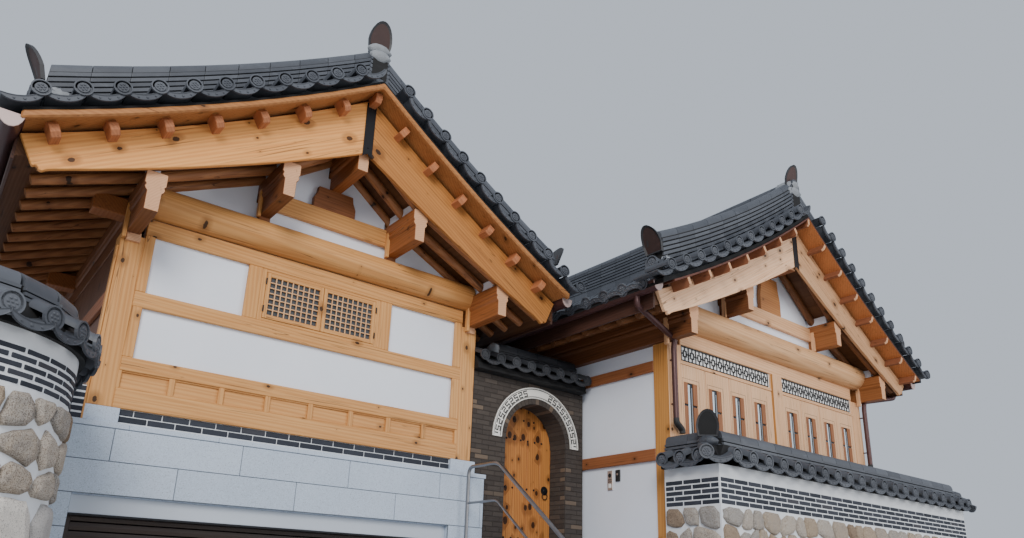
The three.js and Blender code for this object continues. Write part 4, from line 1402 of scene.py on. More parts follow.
def roof_frame(wing):
    """Purlins, and in each gable the round beam, the square beam, the king post and short posts."""
    made = [purlin(wing, 0, wing.ridge_purlin)]
    for side in (-1, 1):
        for out, top in (wing.eave_purlin, wing.mid_purlin):
            made.append(purlin(wing, side * out, top))
    width = wing.mid_purlin[0] - 0.059
    for at_front in (True, False):
        end = gable(wing, at_front)
        span = sorted((end.wall + end.out * 0.020, end.wall - end.out * (SETBACK - 0.0005)))
        made.append(gable_log(wing, end))
        x = (wing.middle - width, wing.middle + width)
        made.append(block(x, span, wing.mid_beam, f"{wing.name}_pine_x", EASED_EDGE))
        made.append(king_post(wing, span))
        cheek_span = (end.wall + end.out * 0.075, end.wall + end.out * 0.018)
        for side in (-1, 1):
            x = wing.middle + side * wing.mid_purlin[0]
            z = (wing.beam_height + wing.beam_radius - 0.02, wing.mid_purlin[1] - 0.3)
            made.append(block((x - 0.06, x + 0.06), span, z, f"{wing.name}_king_pine"))
            for out, top, fall in ((*wing.mid_purlin, 0.40), (*wing.eave_purlin, 0.44)):
                x = wing.middle + side * out - 0.060
                z = (top - fall, top - 0.10)
                made.append(block((x - 0.034, x - LAP), cheek_span, z, f"{wing.name}_pine_z", FINE_EDGE))
    if wing is LEFT:
        for y in BEAM_ENDS:
            x, z = (-5.360, -5.070), (4.760, 4.930)
            made.append(block(x, (y - 0.09, y + 0.09), z, "left_purlin_pine", 0.008))
    finished(f"{wing.name}_roof_timbers", made, (f"{wing.name}_roof_frame",))


def rafters(wing):
    """Round rafters down both slopes, at even steps from verge to verge."""
    front, rear = ends_of(wing, "face")
    front, rear = front + BOARD + 0.10, rear - BOARD - 0.10
    count = round((rear - front) / PITCH_ACROSS)
    lanes = [front + (rear - front) * index / count for index in range(count + 1)]
    for side in (0, 1):
        line = []
        for out in (0.02, wing.mid_purlin[0], wing.eave_purlin[0], wing.board_reach[side] - 0.16):
            height = soffit_line(wing, side, out) - RAFTER + SOFFIT_LAP
            line.append(Vector((wing.middle + way(side) * out, 0, height)))
        parts = []
        for start, end in zip(line, line[1:]):
            far = RAFTER * (0.82 if end is line[-1] else 1)
            # The rafter pine is a lighter copy on the left wing and a darker painted-shade copy on the
            # right
            parts.append(bar(start, end, RAFTER, f"{wing.name}_rafter_{side}", 10, far))
        model = smooth(joined("rafter_model", parts), 40)
        made = copies(model, [Matrix.Translation((0, lane, 0)) for lane in lanes])
        drop(model)
        finished(f"{wing.name}_rafters_{side + 1}", made)


def roof_boards(wing):
    """Boards over the rafters, the eave boards, and the white fill above the purlins."""
    front, rear = ends_of(wing, "face")
    front, rear = front + BOARD + 0.001, rear - BOARD - 0.001
    low = roof_line(wing, soffit_line, 0, wing.board_reach)
    high = roof_line(wing, board_top, TILE_BED - 0.001, wing.board_reach)
    # The soffit boards' very dark pine is painted shade
    made = [strip(low, high, (front, rear), "soffit")]
    fill = []
    inside = (front + 0.16, rear - 0.16)
    for side in (0, 1):
        reach = wing.board_reach[side]
        x = wing.middle + way(side) * reach
        z = (soffit_line(wing, side, reach) - 0.03, board_top(wing, side, reach) + TILE_BED - 0.012)
        made.append(block((x - way(side) * 0.005, x + way(side) * 0.022), (front, rear), z, "fascia"))
        for out, top in (wing.mid_purlin, wing.eave_purlin):
            x = wing.middle + way(side) * out
            z = (top - 0.01, soffit_line(wing, side, out) + 0.03)
            fill.append(block((x - 0.045, x + 0.045), inside, z, "plaster"))
    x, top = wing.middle, wing.ridge_purlin
    fill.append(block((x - 0.05, x + 0.05), inside, (top - 0.01, top + 0.12), "plaster"))
    finished(f"{wing.name}_soffit", made, (f"{wing.name}_roof_boards",))
    finished(f"{wing.name}_rafter_fill", fill)


# Walls of the wings


def depth_span(end, depth):
    """The span in Y from a gable's wall face inwards."""
    return sorted((end.wall, end.wall - end.out * depth))


def corner_posts(wing, end):
    """Both posts of a gable: their spans in X, Y and Z."""
    y, z = depth_span(end, wing.post), (wing.post_bottom, wing.post_top)
    left, right = wing.middle - wing.half, wing.middle + wing.half
    return [((left, left + wing.post), y, z), ((right - wing.post, right), y, z)]


def between_posts(wing, lap=0.001):
    reach = wing.half - wing.post + lap
    return wing.middle - reach, wing.middle + reach


def left_gable(at_front):
    """The left wing's posts, rails and studs, and a row of low panels above the sill."""
    wing, end = LEFT, gable(LEFT, at_front)
    skin = depth_span(end, SETBACK)
    members = [(*spans, "z") for spans in corner_posts(wing, end)]
    members += [(between_posts(wing), skin, rail, "x") for rail in LEFT_RAILS]
    lower = (LEFT_RAILS[1][1] - LAP, LEFT_RAILS[2][0] + LAP)
    upper = (LEFT_RAILS[2][1] - LAP, 4.625)
    for index, stud_span in enumerate(LEFT_STUDS):
        for z in (lower, upper) if index in (0, 3) else (upper,):
            members.append((stud_span, (skin[0] + HAIR, skin[1]), z, "z"))
    first, last = LEFT_STUDS[0][0], LEFT_STUDS[3][1]
    stops = [first + (last - first) / DADO_PANELS * index for index in range(DADO_PANELS + 1)]
    for x in stops:
        members.append(((x - 0.027, x + 0.027), (skin[0] + 0.004, skin[1] - 0.004), DADO, "z"))
    y = (end.wall - end.out * 0.031, end.wall - end.out * 0.040)
    members += [(panel, y, DADO, "x") for panel in zip(stops, stops[1:])]
    y = (end.wall - end.out * 0.014, end.wall - end.out * 0.036)
    members += [((first, last), y, (foot, foot + 0.013), "x") for foot in (3.154, 3.302)]
    made = [block(x, y, z, f"left_pine_{grain}", EASED_EDGE) for x, y, z, grain in members]
    finished(f"left_{end.name}_posts_and_rails", made, (f"left_{end.name}_frame",))
    pins = []
    y = (end.wall + end.out * 0.030, end.wall - end.out * 0.01)
    for x in (wing.middle - wing.half + 0.10, wing.middle + wing.half - 0.10):
        pins.append(block((x - 0.062, x + 0.062), y, (4.520, 4.612), "end_grain", 0.005))
    finished(f"left_{end.name}_tenons", pins)


def right_gable(at_front):
    """The right wing's corner posts, two rails and the proud post between the bays."""
    wing, end = RIGHT, gable(RIGHT, at_front)
    made = []
    for x, y, z in corner_posts(wing, end):
        post = pale_ends(block(x, y, z, "right_pine_z", EASED_EDGE), (-1, 0, 0), look="post_pine")
        made.append(pale_ends(post, (1, 0, 0), look="post_pine"))
    for rail in ((3.095, 3.240), (4.555, 4.744)):
        y = depth_span(end, SETBACK)
        made.append(block(between_posts(wing), y, rail, "right_pine_x", EASED_EDGE))
    y = (end.wall + end.out * 0.026, end.wall - end.out * SETBACK)
    x = (wing.middle - 0.112, wing.middle + 0.112)
    post = block(x, y, (0.300, 4.5545), "right_pine_z", EASED_EDGE)
    made.append(pale_ends(post, (-1, 0, 0), look="post_pine"))
    finished(f"right_{end.name}_posts_and_rails", made, (f"right_{end.name}_frame",))


def side_frames(wing, rails, post_look):
    for name, side in (("west", -1), ("east", 1)):
        outer = wing.middle + side * wing.half
        x = (outer, outer - side * SETBACK)
        y = (wing.front + wing.post + LAP, REAR_FACE - wing.post - LAP)
        made = [block(x, y, z, "rail_pine", EASED_EDGE) for z in rails]
        middle = (sum(y) / 2 - wing.post / 2, sum(y) / 2 + wing.post / 2)
        z = (wing.post_bottom, wing.post_top - LAP)
        made.append(block(x, middle, z, post_look, 0.006))
        finished(f"{wing.name}_{name}_rails", made, (f"{wing.name}_{name}_frame",))


def rim_frame(x, y, z, stile, rail, edge):
    """Two stiles, and two rails between them."""
    inner = (x[0] + stile - LAP, x[1] - stile + LAP)
    parts = (
        ((x[0], x[0] + stile), z, "z"),
        ((x[1] - stile, x[1]), z, "z"),
        (inner, (z[0], z[0] + rail), "x"),
        (inner, (z[1] - rail, z[1]), "x"),
    )
    return [block(across, y, up, f"left_pine_{grain}", edge) for across, up, grain in parts]


def lattice_leaf(x, y, z, out):
    """A leaf with square bars before dark panes."""
    made = rim_frame(x, y, z, LEAF_RIM, LEAF_RIM, 0.003)
    left, right, foot, top = x[0] + LEAF_RIM, x[1] - LEAF_RIM, z[0] + LEAF_RIM, z[1] - LEAF_RIM
    front = y[0] if out < 0 else y[1]
    deep = sorted((front - out * 0.004, front - out * 0.018))
    half, columns, rows = 0.0055, 9, 7
    level, upright = (left - 0.002, right + 0.002), (foot - 0.002, top + 0.002)
    for column in range(1, columns):
        at = left + (right - left) * column / columns
        made.append(block((at - half, at + half), deep, upright, "lattice_pine", SHARP_EDGE))
    deep = (deep[0] + 0.0004, deep[1] - 0.0004)
    for row in range(1, rows):
        at = foot + (top - foot) * row / rows
        made.append(block(level, deep, (at - half, at + half), "lattice_pine", SHARP_EDGE))
    pane = (front - out * 0.024, front - out * 0.030)
    x, z = (left - 0.004, right + 0.004), (foot - 0.004, top + 0.004)
    made.append(block(x, pane, z, "lattice_pane", SHARP_EDGE))
    return made


def left_window(at_front):
    """A window of two lattice leaves, with iron hinges."""
    end = gable(LEFT, at_front)
    x0, x1, z0, z1 = LEFT_WINDOW
    node = f"left_{end.name}_window"
    y = [corner.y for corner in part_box(node)]
    stile, rail, gap = 0.050, 0.030, 0.003
    made = rim_frame((x0, x1), y, (z0, z1), stile, rail, 0.004)
    middle = (x0 + x1) / 2
    y = sorted(depth + 0.006 * end.out for depth in y)
    z = (z0 + rail + gap, z1 - rail - gap)
    for x in ((x0 + stile + gap, middle - gap), (middle + gap, x1 - stile - gap)):
        made += lattice_leaf(x, y, z, end.out)
    front = y[0] if end.out < 0 else y[1]
    for x in (x0 + stile, x1 - stile):
        for height in (z0 + 0.13, z1 - 0.13):
            centre = Vector((x, front + end.out * 0.004, height))
            made.append(bar(centre - UP * 0.032, centre + UP * 0.032, 0.008, "iron", 8))
    finished(f"left_{end.name}_lattice", made, (node,))


def fret_lattice(x, z, face, out):
    """Black bars of a square fret before white paper."""
    half = 0.0055
    y = (face, face - out * 0.010)
    rise = z[1] - z[0]
    count = round((x[1] - x[0]) / (rise * 0.80))
    pitch = (x[1] - x[0]) / count
    low, mid, high = (z[0] + rise * share for share in (0.3, 0.5, 0.7))
    bars = [(x[0], z[0], x[1], z[0]), (x[0], z[1], x[1], z[1])]
    bars += [(x[0] + pitch * index, z[0], x[0] + pitch * index, z[1]) for index in range(count + 1)]
    for index in range(count):
        start = x[0] + pitch * index
        left, centre, right = (start + pitch * share for share in (0.3, 0.5, 0.7))
        bars += [(left, low, right, low), (left, high, right, high)]
        bars += [(left, low, left, high), (right, low, right, high)]
        bars += [(start, mid, left, mid), (right, mid, start + pitch, mid)]
        bars += [(centre, z[0], centre, low), (centre, high, centre, z[1])]
    return [block((a - half, c + half), y, (b - half, d + half), "fret_black", 0) for a, b, c, d in bars]


def casements(at_front, bay):
    """Four leaves with narrow panes below a fret transom."""
    end = gable(RIGHT, at_front)
    node = f"right_{end.name}_casements_{bay + 1}"
    low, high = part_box(node)
    x0, x1, z0, z1 = low.x, high.x, low.z, high.z
    face = low.y if at_front else high.y
    made = []

    def plank(x, z, look, proud=0.0, edge=0.004, back=0.030):
        made.append(block(x, (face + end.out * proud, face - end.out * back), z, look, edge))

    sill, rail, transom, transom_top = z0 + 0.05, z1 - 0.25, z1 - 0.207, z1 - 0.004
    plank((x0, x1), (rail, transom), "right_pine_x", 0.004)
    plank((x0, x1), (z0, sill), "right_pine_x", 0.004)
    plank((x0, x0 + 0.022), (transom, z1), "right_pine_z", 0.0, 0.003)
    plank((x1 - 0.022, x1), (transom, z1), "right_pine_z", 0.0, 0.003)
    plank((x0 + 0.01, x1 - 0.01), (transom, transom_top), "paper", -0.016, 0, 0.022)
    fret_span = (transom + 0.012, transom_top - 0.010)
    made += fret_lattice((x0 + 0.035, x1 - 0.066), fret_span, face - end.out * 0.003, end.out)
    pitch, gap = (x1 - x0) / 4, 0.005
    slot_foot, slot_top = z0 + 0.110, z1 - 0.475
    split = (slot_foot + slot_top) / 2 + 0.08
    for leaf in range(4):
        a, b = x0 + pitch * leaf, x0 + pitch * (leaf + 1)
        middle = (a + b) / 2 - (0.060 if bay == 0 else 0.0)
        left, right = middle - SLOT_WIDTH / 2, middle + SLOT_WIDTH / 2
        for stile in ((a + gap, left), (right, b - gap)):
            plank(stile, (sill, rail - gap), "sash_pine", 0.0, 0.005)
        for span in ((slot_top, rail - gap), (sill, slot_foot)):
            plank((left - LAP, right + LAP), span, "sash_pine", -0.0005, 0.003)
        # Dark groove lines round each pane: painted shade
        groove = (left - 0.030, right + 0.030, slot_foot - 0.045, slot_top + 0.045)
        made += leaf_groove(face, end.out, *groove)
        for reveal in ((left, left + 0.078), (right - 0.078, right)):
            for span in ((slot_foot, split - 0.012), (split + 0.012, slot_top)):
                plank(reveal, span, "reveal_pine", -0.003, 0.004, 0.026)
        plank((left, right), (slot_foot, slot_top), "glass", -0.018, 0, 0.024)
        # A pale strip on each pane: a painted reflection of the sky
        span = (slot_foot + 0.02, slot_top - 0.02)
        plank((left + 0.094, left + 0.128), span, "sky_glass", -0.0176, 0, 0.020)
        span = (slot_foot + 0.02, slot_top - 0.05)
        plank((right - 0.106, right - 0.086), span, "grey_glass", -0.0176, 0, 0.020)
    finished(f"right_{end.name}_sashes_{bay + 1}", made, (node,))


def leaf_groove(face, out, left, right, foot, top):
    """A thin dark rectangle let into a leaf, round its pane: painted shade of a groove."""
    thick = 0.004
    y = (face + out * 0.0006, face - out * 0.003)
    made = [block((x, x + thick), y, (foot, top), "fascia", 0) for x in (left, right)]
    return made + [block((left, right + thick), y, (z, z + thick), "fascia", 0) for z in (foot, top)]


def keep_nodes():
    """CAD nodes whose shape is right: they only get their finish."""
    for look, names in PLAIN_NODES.items():
        for name in names:
            dressed(NODES[name], look)


# Copings of the gate wall and the low walls


def coping_rows(places, half, foot, tiles, disc_rise=0.100, size=1.0):
    """Discs at the even places and crescents between them: each is a point and a way out."""
    made = []
    for index, (point, out) in enumerate(places):
        model, drop_by = (tiles.coping_drip, 0.075 * size) if index % 2 else (tiles.coping_disc, 0)
        at = Vector((point.x, point.y, foot + disc_rise - drop_by)) + out * (half - EAVE_TILE * size)
        made += copies(model, [seat(at, out, UP.cross(out), (size, size, size))])
    return made


def stations(start, end, out, pitch):
    """Even places along a straight wall: discs and crescents in turn, a disc at each end."""
    start, end, out = Vector(start), Vector(end), Vector(out)
    count = 2 * max(1, round((end - start).length / pitch))
    return [(start.lerp(end, index / count), out) for index in range(count + 1)]


def coping_bed(half, foot, crown):
    """The core below a coping's tiles, across the wall, near black as painted shade."""
    wide, narrow = half - 0.070, 0.080
    right = [(wide, foot + LAP), (wide, foot + 0.045), (narrow, crown)]
    return [(-a, z) for a, z in right[:1]] + right + [(-a, z) for a, z in right[:0:-1]]


def coping_ridge(line, tiles, base, top):
    """Three thin plates and the round covers of a coping, up to the given height."""
    room = top - base - (RIDGE_RADIUS + RIDGE_SIDES) * COPING_SIZE + 0.012
    points = [Vector((point.x, point.y, base)) for point in line]
    pitch = room / COPING_PLATES
    return ridge_run(chain(points), tiles, COPING_PLATES, pitch, COPING_RIDGE, COPING_SIZE)


def even_line(start, end, step):
    start, end = Vector(start), Vector(end)
    count = max(1, round((end - start).length / step))
    return [start.lerp(end, index / count) for index in range(count + 1)]


def gate_roof(tiles):
    """The small tiled roof over the gate wall, in the shade of both eaves."""
    low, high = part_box("gate_roof")
    middle, half, foot = GATE_DEPTH / 2, (high.y - low.y) / 2, low.z
    crown = foot + 0.300
    made = []
    for out in (-1, 1):
        row = stations((low.x + 0.05, middle, 0), (high.x - 0.04, middle, 0), (0, out, 0), 0.247)
        made += coping_rows(row, half, foot, tiles, 0.160, 0.84)
    bed = [(middle + a, z) for a, z in coping_bed(half, foot + 0.030, crown)]
    # The bed below the gate roof's tiles is near black: painted shade
    made.append(carried(bed, "x", low.x + 0.004, high.x - 0.004, "soot"))
    for out in (-1, 1):
        inner, outer = middle + out * 0.05, middle + out * (half - 0.15)
        slab = [(inner, crown + 0.004), (inner, crown + 0.024)]
        slab += [(outer, foot + 0.262), (outer, foot + 0.242)]
        made.append(carried(slab, "x", low.x + 0.010, high.x - 0.010, "dark_clay"))
    line = even_line((-0.640, middle, 0), (high.x, middle, 0), 0.32)
    made += coping_ridge(line, tiles, crown, foot + 0.480)
    heap = seat((-0.660, middle - 0.03, crown + 0.07), (-1, 0, 0), (0, -1, 0))
    made.append(mortar_lump(heap, (0.06, 0.11, 0.09)))
    x, y = (low.x + 0.002, high.x - 0.002), (low.y + 0.06, high.y - 0.06)
    made.append(block(x, y, (foot + LAP, foot + 0.030), "soot"))
    roof = finished("gate_roof_tiles", made, ("gate_roof",))
    for index, material in enumerate(roof.data.materials):
        if material is LOOKS["clay"]:
            roof.data.materials[index] = LOOKS["shaded_clay"]


def garden_coping(tiles):
    """The tiled coping of the garden wall, on its front and both sides."""
    g = GARDEN
    foot, half, crown = g.top, COPING_HALF, g.top + 0.205
    left, right, y = g.left + g.wall / 2, g.right - g.wall / 2, g.front + g.wall / 2
    rows = (
        ((left + 0.06, y, 0), (right + 0.10, y, 0), (0, -1, 0)),
        ((left + 0.34, y, 0), (right - 0.34, y, 0), (0, 1, 0)),
        ((left, y + 0.06, 0), (left, g.rear - 0.06, 0), (-1, 0, 0)),
        ((right, y + 0.06, 0), (right, g.rear - 0.06, 0), (1, 0, 0)),
    )
    made = []
    for start, end, out in rows:
        made += coping_rows(stations(start, end, out, 0.290), half, foot, tiles)
    bed = coping_bed(half, foot, crown)
    made.append(carried([(y + a, z) for a, z in bed], "x", g.left - 0.04, g.right + 0.04, "soot"))
    for x in (left, right):
        made.append(carried([(x + a, z) for a, z in bed], "y", g.front - 0.04, g.rear + 0.014, "soot"))
    lines = [((left + 0.02, y, 0), (right - 0.02, y, 0))]
    lines += [((x, g.rear + 0.012, 0), (x, y, 0)) for x in (left, right)]
    for start, end in lines:
        made += coping_ridge(even_line(start, end, 0.35), tiles, crown - 0.02, GARDEN_TOP)
    for x, out in ((left, -1), (right, 1)):
        ahead = Vector((out, -1, 0)).normalized()
        across = UP.cross(ahead)
        corner = Vector((x, y, foot))
        tip = corner + Vector((out * 0.13, 0, 0))
        if out < 0:
            made += copies(tiles.corner_horn, [seat(tip + UP * 0.300, ahead, across)])
        disc_at = tip + Vector((out * 0.05, 0.02, 0.105))
        made += copies(tiles.coping_disc, [seat(disc_at, ahead, across)])
        drip_at = corner + UP * 0.030 + ahead * 0.11
        made += copies(tiles.coping_drip, [seat(drip_at, ahead, across, (1, 0.9, 1))])
        made.append(mortar_lump(seat(tip + UP * 0.245, ahead, across), (0.13, 0.11, 0.07), "clay"))
    finished("garden_coping_tiles", made, ("garden_wall_coping",))


def street_coping(tiles, length):
    line, _ = street_place(STREET.radius - GARDEN.wall / 2, 0.0)
    foot, crown = STREET_FOOT, STREET_FOOT + 0.205
    count = 2 * round(length / 0.265)
    made = []
    for side in (1, -1):
        row = []
        for index in range(count + 1):
            at = line(min(max(0.04, length * index / count), length - 0.04), 0, 1)
            row.append((at.to_translation(), at.col[2].to_3d() * side))
        made += coping_rows(row, COPING_HALF, foot, tiles)
    made.append(swept(coping_bed(COPING_HALF, foot, crown), line, length, 40, "soot"))
    points = [line(length * index / 12, 0, 1).to_translation() for index in range(13)]
    made += coping_ridge(points, tiles, crown - 0.02, STREET_TOP)
    finished("street_coping_tiles", made, ("street_wall_coping",))


def swept(outline, line, length, steps, look):
    """An outline across a wall, carried along the wall's line ring by ring."""
    let_go()
    bpy.ops.mesh.primitive_circle_add(vertices=len(outline), fill_type="NGON")
    piece = bpy.context.active_object

    def ring_points(u):
        at = line(u, 0, 1)
        out = at.col[2].to_3d()
        return [at.to_translation() + out * a + UP * z for a, z in outline]

    for vertex, point in zip(piece.data.vertices, ring_points(0.0)):
        vertex.co = point
    edit_all(piece)
    edit_done()
    for index in range(1, steps + 1):
        bpy.ops.object.mode_set(mode="EDIT")
        bpy.ops.mesh.extrude_region_move(TRANSFORM_OT_translate={"value": (0, 0, 0)})
        edit_done()
        chosen = [vertex for vertex in piece.data.vertices if vertex.select]
        before = ring_points(length * (index - 1) / steps)
        after = ring_points(length * index / steps)
        for vertex in chosen:
            nearest = min(range(len(before)), key=lambda n: (before[n] - vertex.co).length)
            vertex.co = after[nearest]
    edit_all(piece)
    bpy.ops.mesh.normals_make_consistent(inside=False)
    edit_done()
    return dressed(piece, look)


# Bricks, stones and slabs


def brick_kind(length, rise, joint, look, bed_joint=None):
    """A brick with the length, rise and joint of its courses."""
    half = (length - joint) / 2
    half_height = (rise - (bed_joint or joint)) / 2
    model = block((-half, half), (-half_height, half_height), (-BRICK_DEPTH, 0), look, 0.0035)
    return SimpleNamespace(model=model, length=length, rise=rise, joint=joint)


def courses(bricks, span, foot, rows):
    """Centres of bricks in a running bond: place along the wall, height, and the brick's length."""
    u0, u1 = span
    made = []
    for row in range(rows):
        cursor = u0 - (bricks.length / 2 if row % 2 else 0)
        while cursor < u1 - 0.02:
            a, b = max(cursor, u0), min(cursor + bricks.length, u1)
            if b - a > 0.03:
                made.append(((a + b) / 2, foot + bricks.rise * (row + 0.5), b - a))
            cursor += bricks.length
    return made


def facing(at, along, out, share):
    """A place on a wall: x along it, y up, z out of it."""
    turn = Matrix((along, out.cross(along), out)).transposed().to_4x4()
    return Matrix.Translation(at) @ turn @ Matrix.Diagonal((share, 1, 1, 1))


def wall_seat(origin, along, out, proud):
    """Places bricks on a wall that runs along a direction and faces out."""
    along, out = Vector(along), Vector(out)

    def place(u, z, share):
        return facing(Vector(origin) + along * u + UP * z + out * proud, along, out, share)

    return place


def brick_panel(bricks, place, span, foot, rows, keep=None):
    seats = []
    for u, z, size in courses(bricks, span, foot, rows):
        share = (size - bricks.joint) / (bricks.length - bricks.joint)
        if share > 0.1 and (keep is None or keep(u, z, size)):
            seats.append(place(u, z, share))
    return copies(bricks.model, seats)


def stone_model(look):
    """A broken stone in a unit cell: an uneven outline, sloped edges and a domed face."""
    corners = 12
    points = []
    for corner in range(corners):
        turn = 2 * math.pi * (corner + DICE.uniform(-0.28, 0.28)) / corners
        x, y = math.cos(turn), math.sin(turn)
        reach = 0.5 * DICE.uniform(0.93, 1.03) / (abs(x) ** 6 + abs(y) ** 6) ** (1 / 6)
        points.append((x * reach, y * reach))
    stone = carried(points, "z", -0.5, 0.20, look)
    take(stone)
    bpy.ops.object.mode_set(mode="EDIT")
    bpy.ops.mesh.select_all(action="DESELECT")
    edit_done()
    max(stone.data.polygons, key=lambda polygon: polygon.center.z).select = True
    bpy.ops.object.mode_set(mode="EDIT")
    for thickness, rise in ((0.022, 0.26), (0.055, 0.30), (0.12, 0.16)):
        bpy.ops.mesh.inset(thickness=thickness, depth=0)
        bpy.ops.transform.translate(value=(0, 0, rise))
    bpy.ops.mesh.select_all(action="SELECT")
    bpy.ops.transform.vertex_random(offset=0.030, seed=DICE.randrange(1, 99))
    bpy.ops.mesh.normals_make_consistent(inside=False)
    edit_done()
    return smooth(stone, 38)


def fitted(model, place, corners, joint, relief):
    """A stone bent to fill a four-cornered cell of the wall, less its joint."""
    copy = copies(model, [Matrix.Identity(4)])[0]
    middle = Vector((0, 0))
    for corner in corners:
        middle += corner / 4
    inner = []
    for corner in corners:
        away = corner - middle
        inner.append(middle + away * max(0.3, 1 - joint * 0.6 / away.length))
    for vertex in copy.data.vertices:
        u, v, depth = vertex.co.x + 0.5, vertex.co.y + 0.5, vertex.co.z
        at = inner[0].lerp(inner[1], u).lerp(inner[3].lerp(inner[2], u), v)
        vertex.co = place(at.x, at.y, 1) @ Vector((0, 0, depth * relief))
    return copy


def wavering(u, z, z0, z1, size):
    """A point on a row's edge, which rises and falls along the wall."""
    if z0 + 0.01 < z < z1 - 0.01:
        slow = 0.17 * math.sin(u * 2.3 / size + z * 17)
        quick = 0.10 * math.sin(u * 5.1 / size + z * 41)
        z += size * (slow + quick)
    return Vector((u, z))


def rubble(look, panels, size, joint, relief):
    """Walls of stones of mixed widths in wavering rows. Neighbours share their cells' corners."""
    models = [stone_model(look) for _ in range(STONE_SHAPES)]
    made = []
    for place, (u0, u1), (z0, z1) in panels:
        rows = max(1, round((z1 - z0) / size))
        edges = [z0 + (z1 - z0) * row / rows for row in range(rows + 1)]
        for low, high in zip(edges, edges[1:]):
            stops = [u0]
            while stops[-1] < u1 - 0.001:
                step = size * DICE.uniform(0.70, 1.55)
                stops.append(u1 if u1 - stops[-1] - step < size * 0.6 else stops[-1] + step)
            lines = []
            for stop in stops:
                shift = DICE.uniform(-0.24, 0.24) * size if u0 < stop < u1 else 0
                foot = wavering(stop - shift, low, z0, z1, size)
                lines.append((foot, wavering(stop + shift, high, z0, z1, size)))
            for (foot_a, top_a), (foot_b, top_b) in zip(lines, lines[1:]):
                corners = (foot_a, foot_b, top_b, top_a)
                made.append(fitted(DICE.choice(models), place, corners, joint, relief))
    drop(*models)
    return made


def shares(low, high, count, gap):
    """Even spans between two places, with a gap at each end of each."""
    stops = [low + (high - low) * index / count for index in range(count + 1)]
    return [(a + gap, b - gap) for a, b in zip(stops, stops[1:])]


def podium_facing():
    """Thin granite slabs over the podium, with dark joints, and the white header."""
    low, high = PODIUM_LOW, PODIUM_HIGH
    proud, joint, lap, door_left, door_right, door_top = 0.012, 0.006, 0.004, -5.060, -1.348, 2.230
    made = []

    def face(u0, u1, axis, depth, doorway=False, shift=0.0):
        for index, (z0, z1) in enumerate(zip(SLAB_ROWS, SLAB_ROWS[1:])):
            cursor = u0 - SLAB + (shift + (SLAB_SHIFT if index % 2 else 0)) % SLAB
            while cursor < u1:
                a, b = max(cursor, u0), min(cursor + SLAB, u1)
                spans = [(a, b)]
                if doorway and z1 <= door_top + 0.001:
                    spans = [(a, min(b, door_left)), (max(a, door_right), b)]
                for start, end in spans:
                    if end - start > 0.03:
                        run = (start + joint / 2, end - joint / 2)
                        x, y = (run, depth) if axis == "x" else (depth, run)
                        z = (z0 + joint / 2, z1 - joint / 2)
                        made.append(block(x, y, z, "granite", 0.0025))
                cursor += SLAB

    first_joint = -4.817 - low.x + 2 * SLAB - 0.555
    face(low.x - proud, high.x, "x", (low.y - proud, low.y + lap), True, first_joint)
    face(low.x - proud, high.x, "x", (high.y - lap, high.y + proud))
    face(low.y, high.y, "y", (low.x - proud, low.x + lap))
    face(BEHIND_GATE, high.y, "y", (high.x - lap, high.x + proud))
    for piece in made:
        toned(piece, DICE.random())
    left, front, sunk = low.x - 0.002, low.y - 0.002, 0.01
    beds = (
        ((left, high.x), (front, low.y + sunk), (door_top, SLAB_BED_TOP)),
        ((left, door_left), (front, low.y + sunk), (0, door_top)),
        ((door_right, high.x), (front, low.y + sunk), (0, door_top)),
        ((left, high.x), (high.y - sunk, high.y + 0.002), (0, SLAB_BED_TOP)),
        ((left, low.x + sunk), (low.y, high.y), (0, SLAB_BED_TOP)),
        ((high.x - sunk, high.x + 0.002), (BEHIND_GATE, high.y), (0, SLAB_BED_TOP)),
    )
    made += [block(*spans, "joint", 0) for spans in beds]
    finished("podium_slabs", made)
    x = (door_left + LAP, door_right - LAP)
    # The header's white stone is darkened as painted shade in its recess
    header = block(x, (-0.045, 0.018), (2.066, 2.222), "white_stone", EASED_EDGE)
    trim = block(x, (-0.056, -0.020), (2.050, 2.068), "iron", FINE_EDGE)
    finished("garage_header", [header, trim])


def podium_coping():
    low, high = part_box("podium_coping")
    made = []
    for x in shares(low.x, high.x, 6, 0.001):
        for y in shares(low.y, high.y, 6, 0.001):
            made.append(block(x, y, (low.z, high.z), "granite"))
    finished("podium_coping_slabs", made, ("podium_coping",))


def garage_shutter():
    """Narrow curved slats in their guides."""
    low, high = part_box("garage_shutter")
    count = round((high.z - low.z) / 0.075)
    pitch = (high.z - low.z) / count
    outline = [(0.034, 0.001), (0.006, 0.006), (0.0, pitch / 2)]
    outline += [(0.006, pitch - 0.006), (0.034, pitch - LAP)]
    points = [(low.y + y, z) for y, z in outline]
    model = carried(points, "x", low.x + LAP, high.x - LAP, "shutter")
    made = copies(model, [Matrix.Translation((0, 0, low.z + pitch * row)) for row in range(count)])
    drop(model)
    for x in ((low.x, low.x + 0.05), (high.x - 0.05, high.x)):
        made.append(block(x, (low.y - 0.012, low.y + 0.02), (low.z, high.z), "shutter"))
    foot = (low.z, low.z + 0.10)
    made.append(block((low.x, high.x), (low.y - 0.006, low.y + 0.03), foot, "shutter", EASED_EDGE))
    finished("garage_shutter_slats", made, ("garage_shutter",))


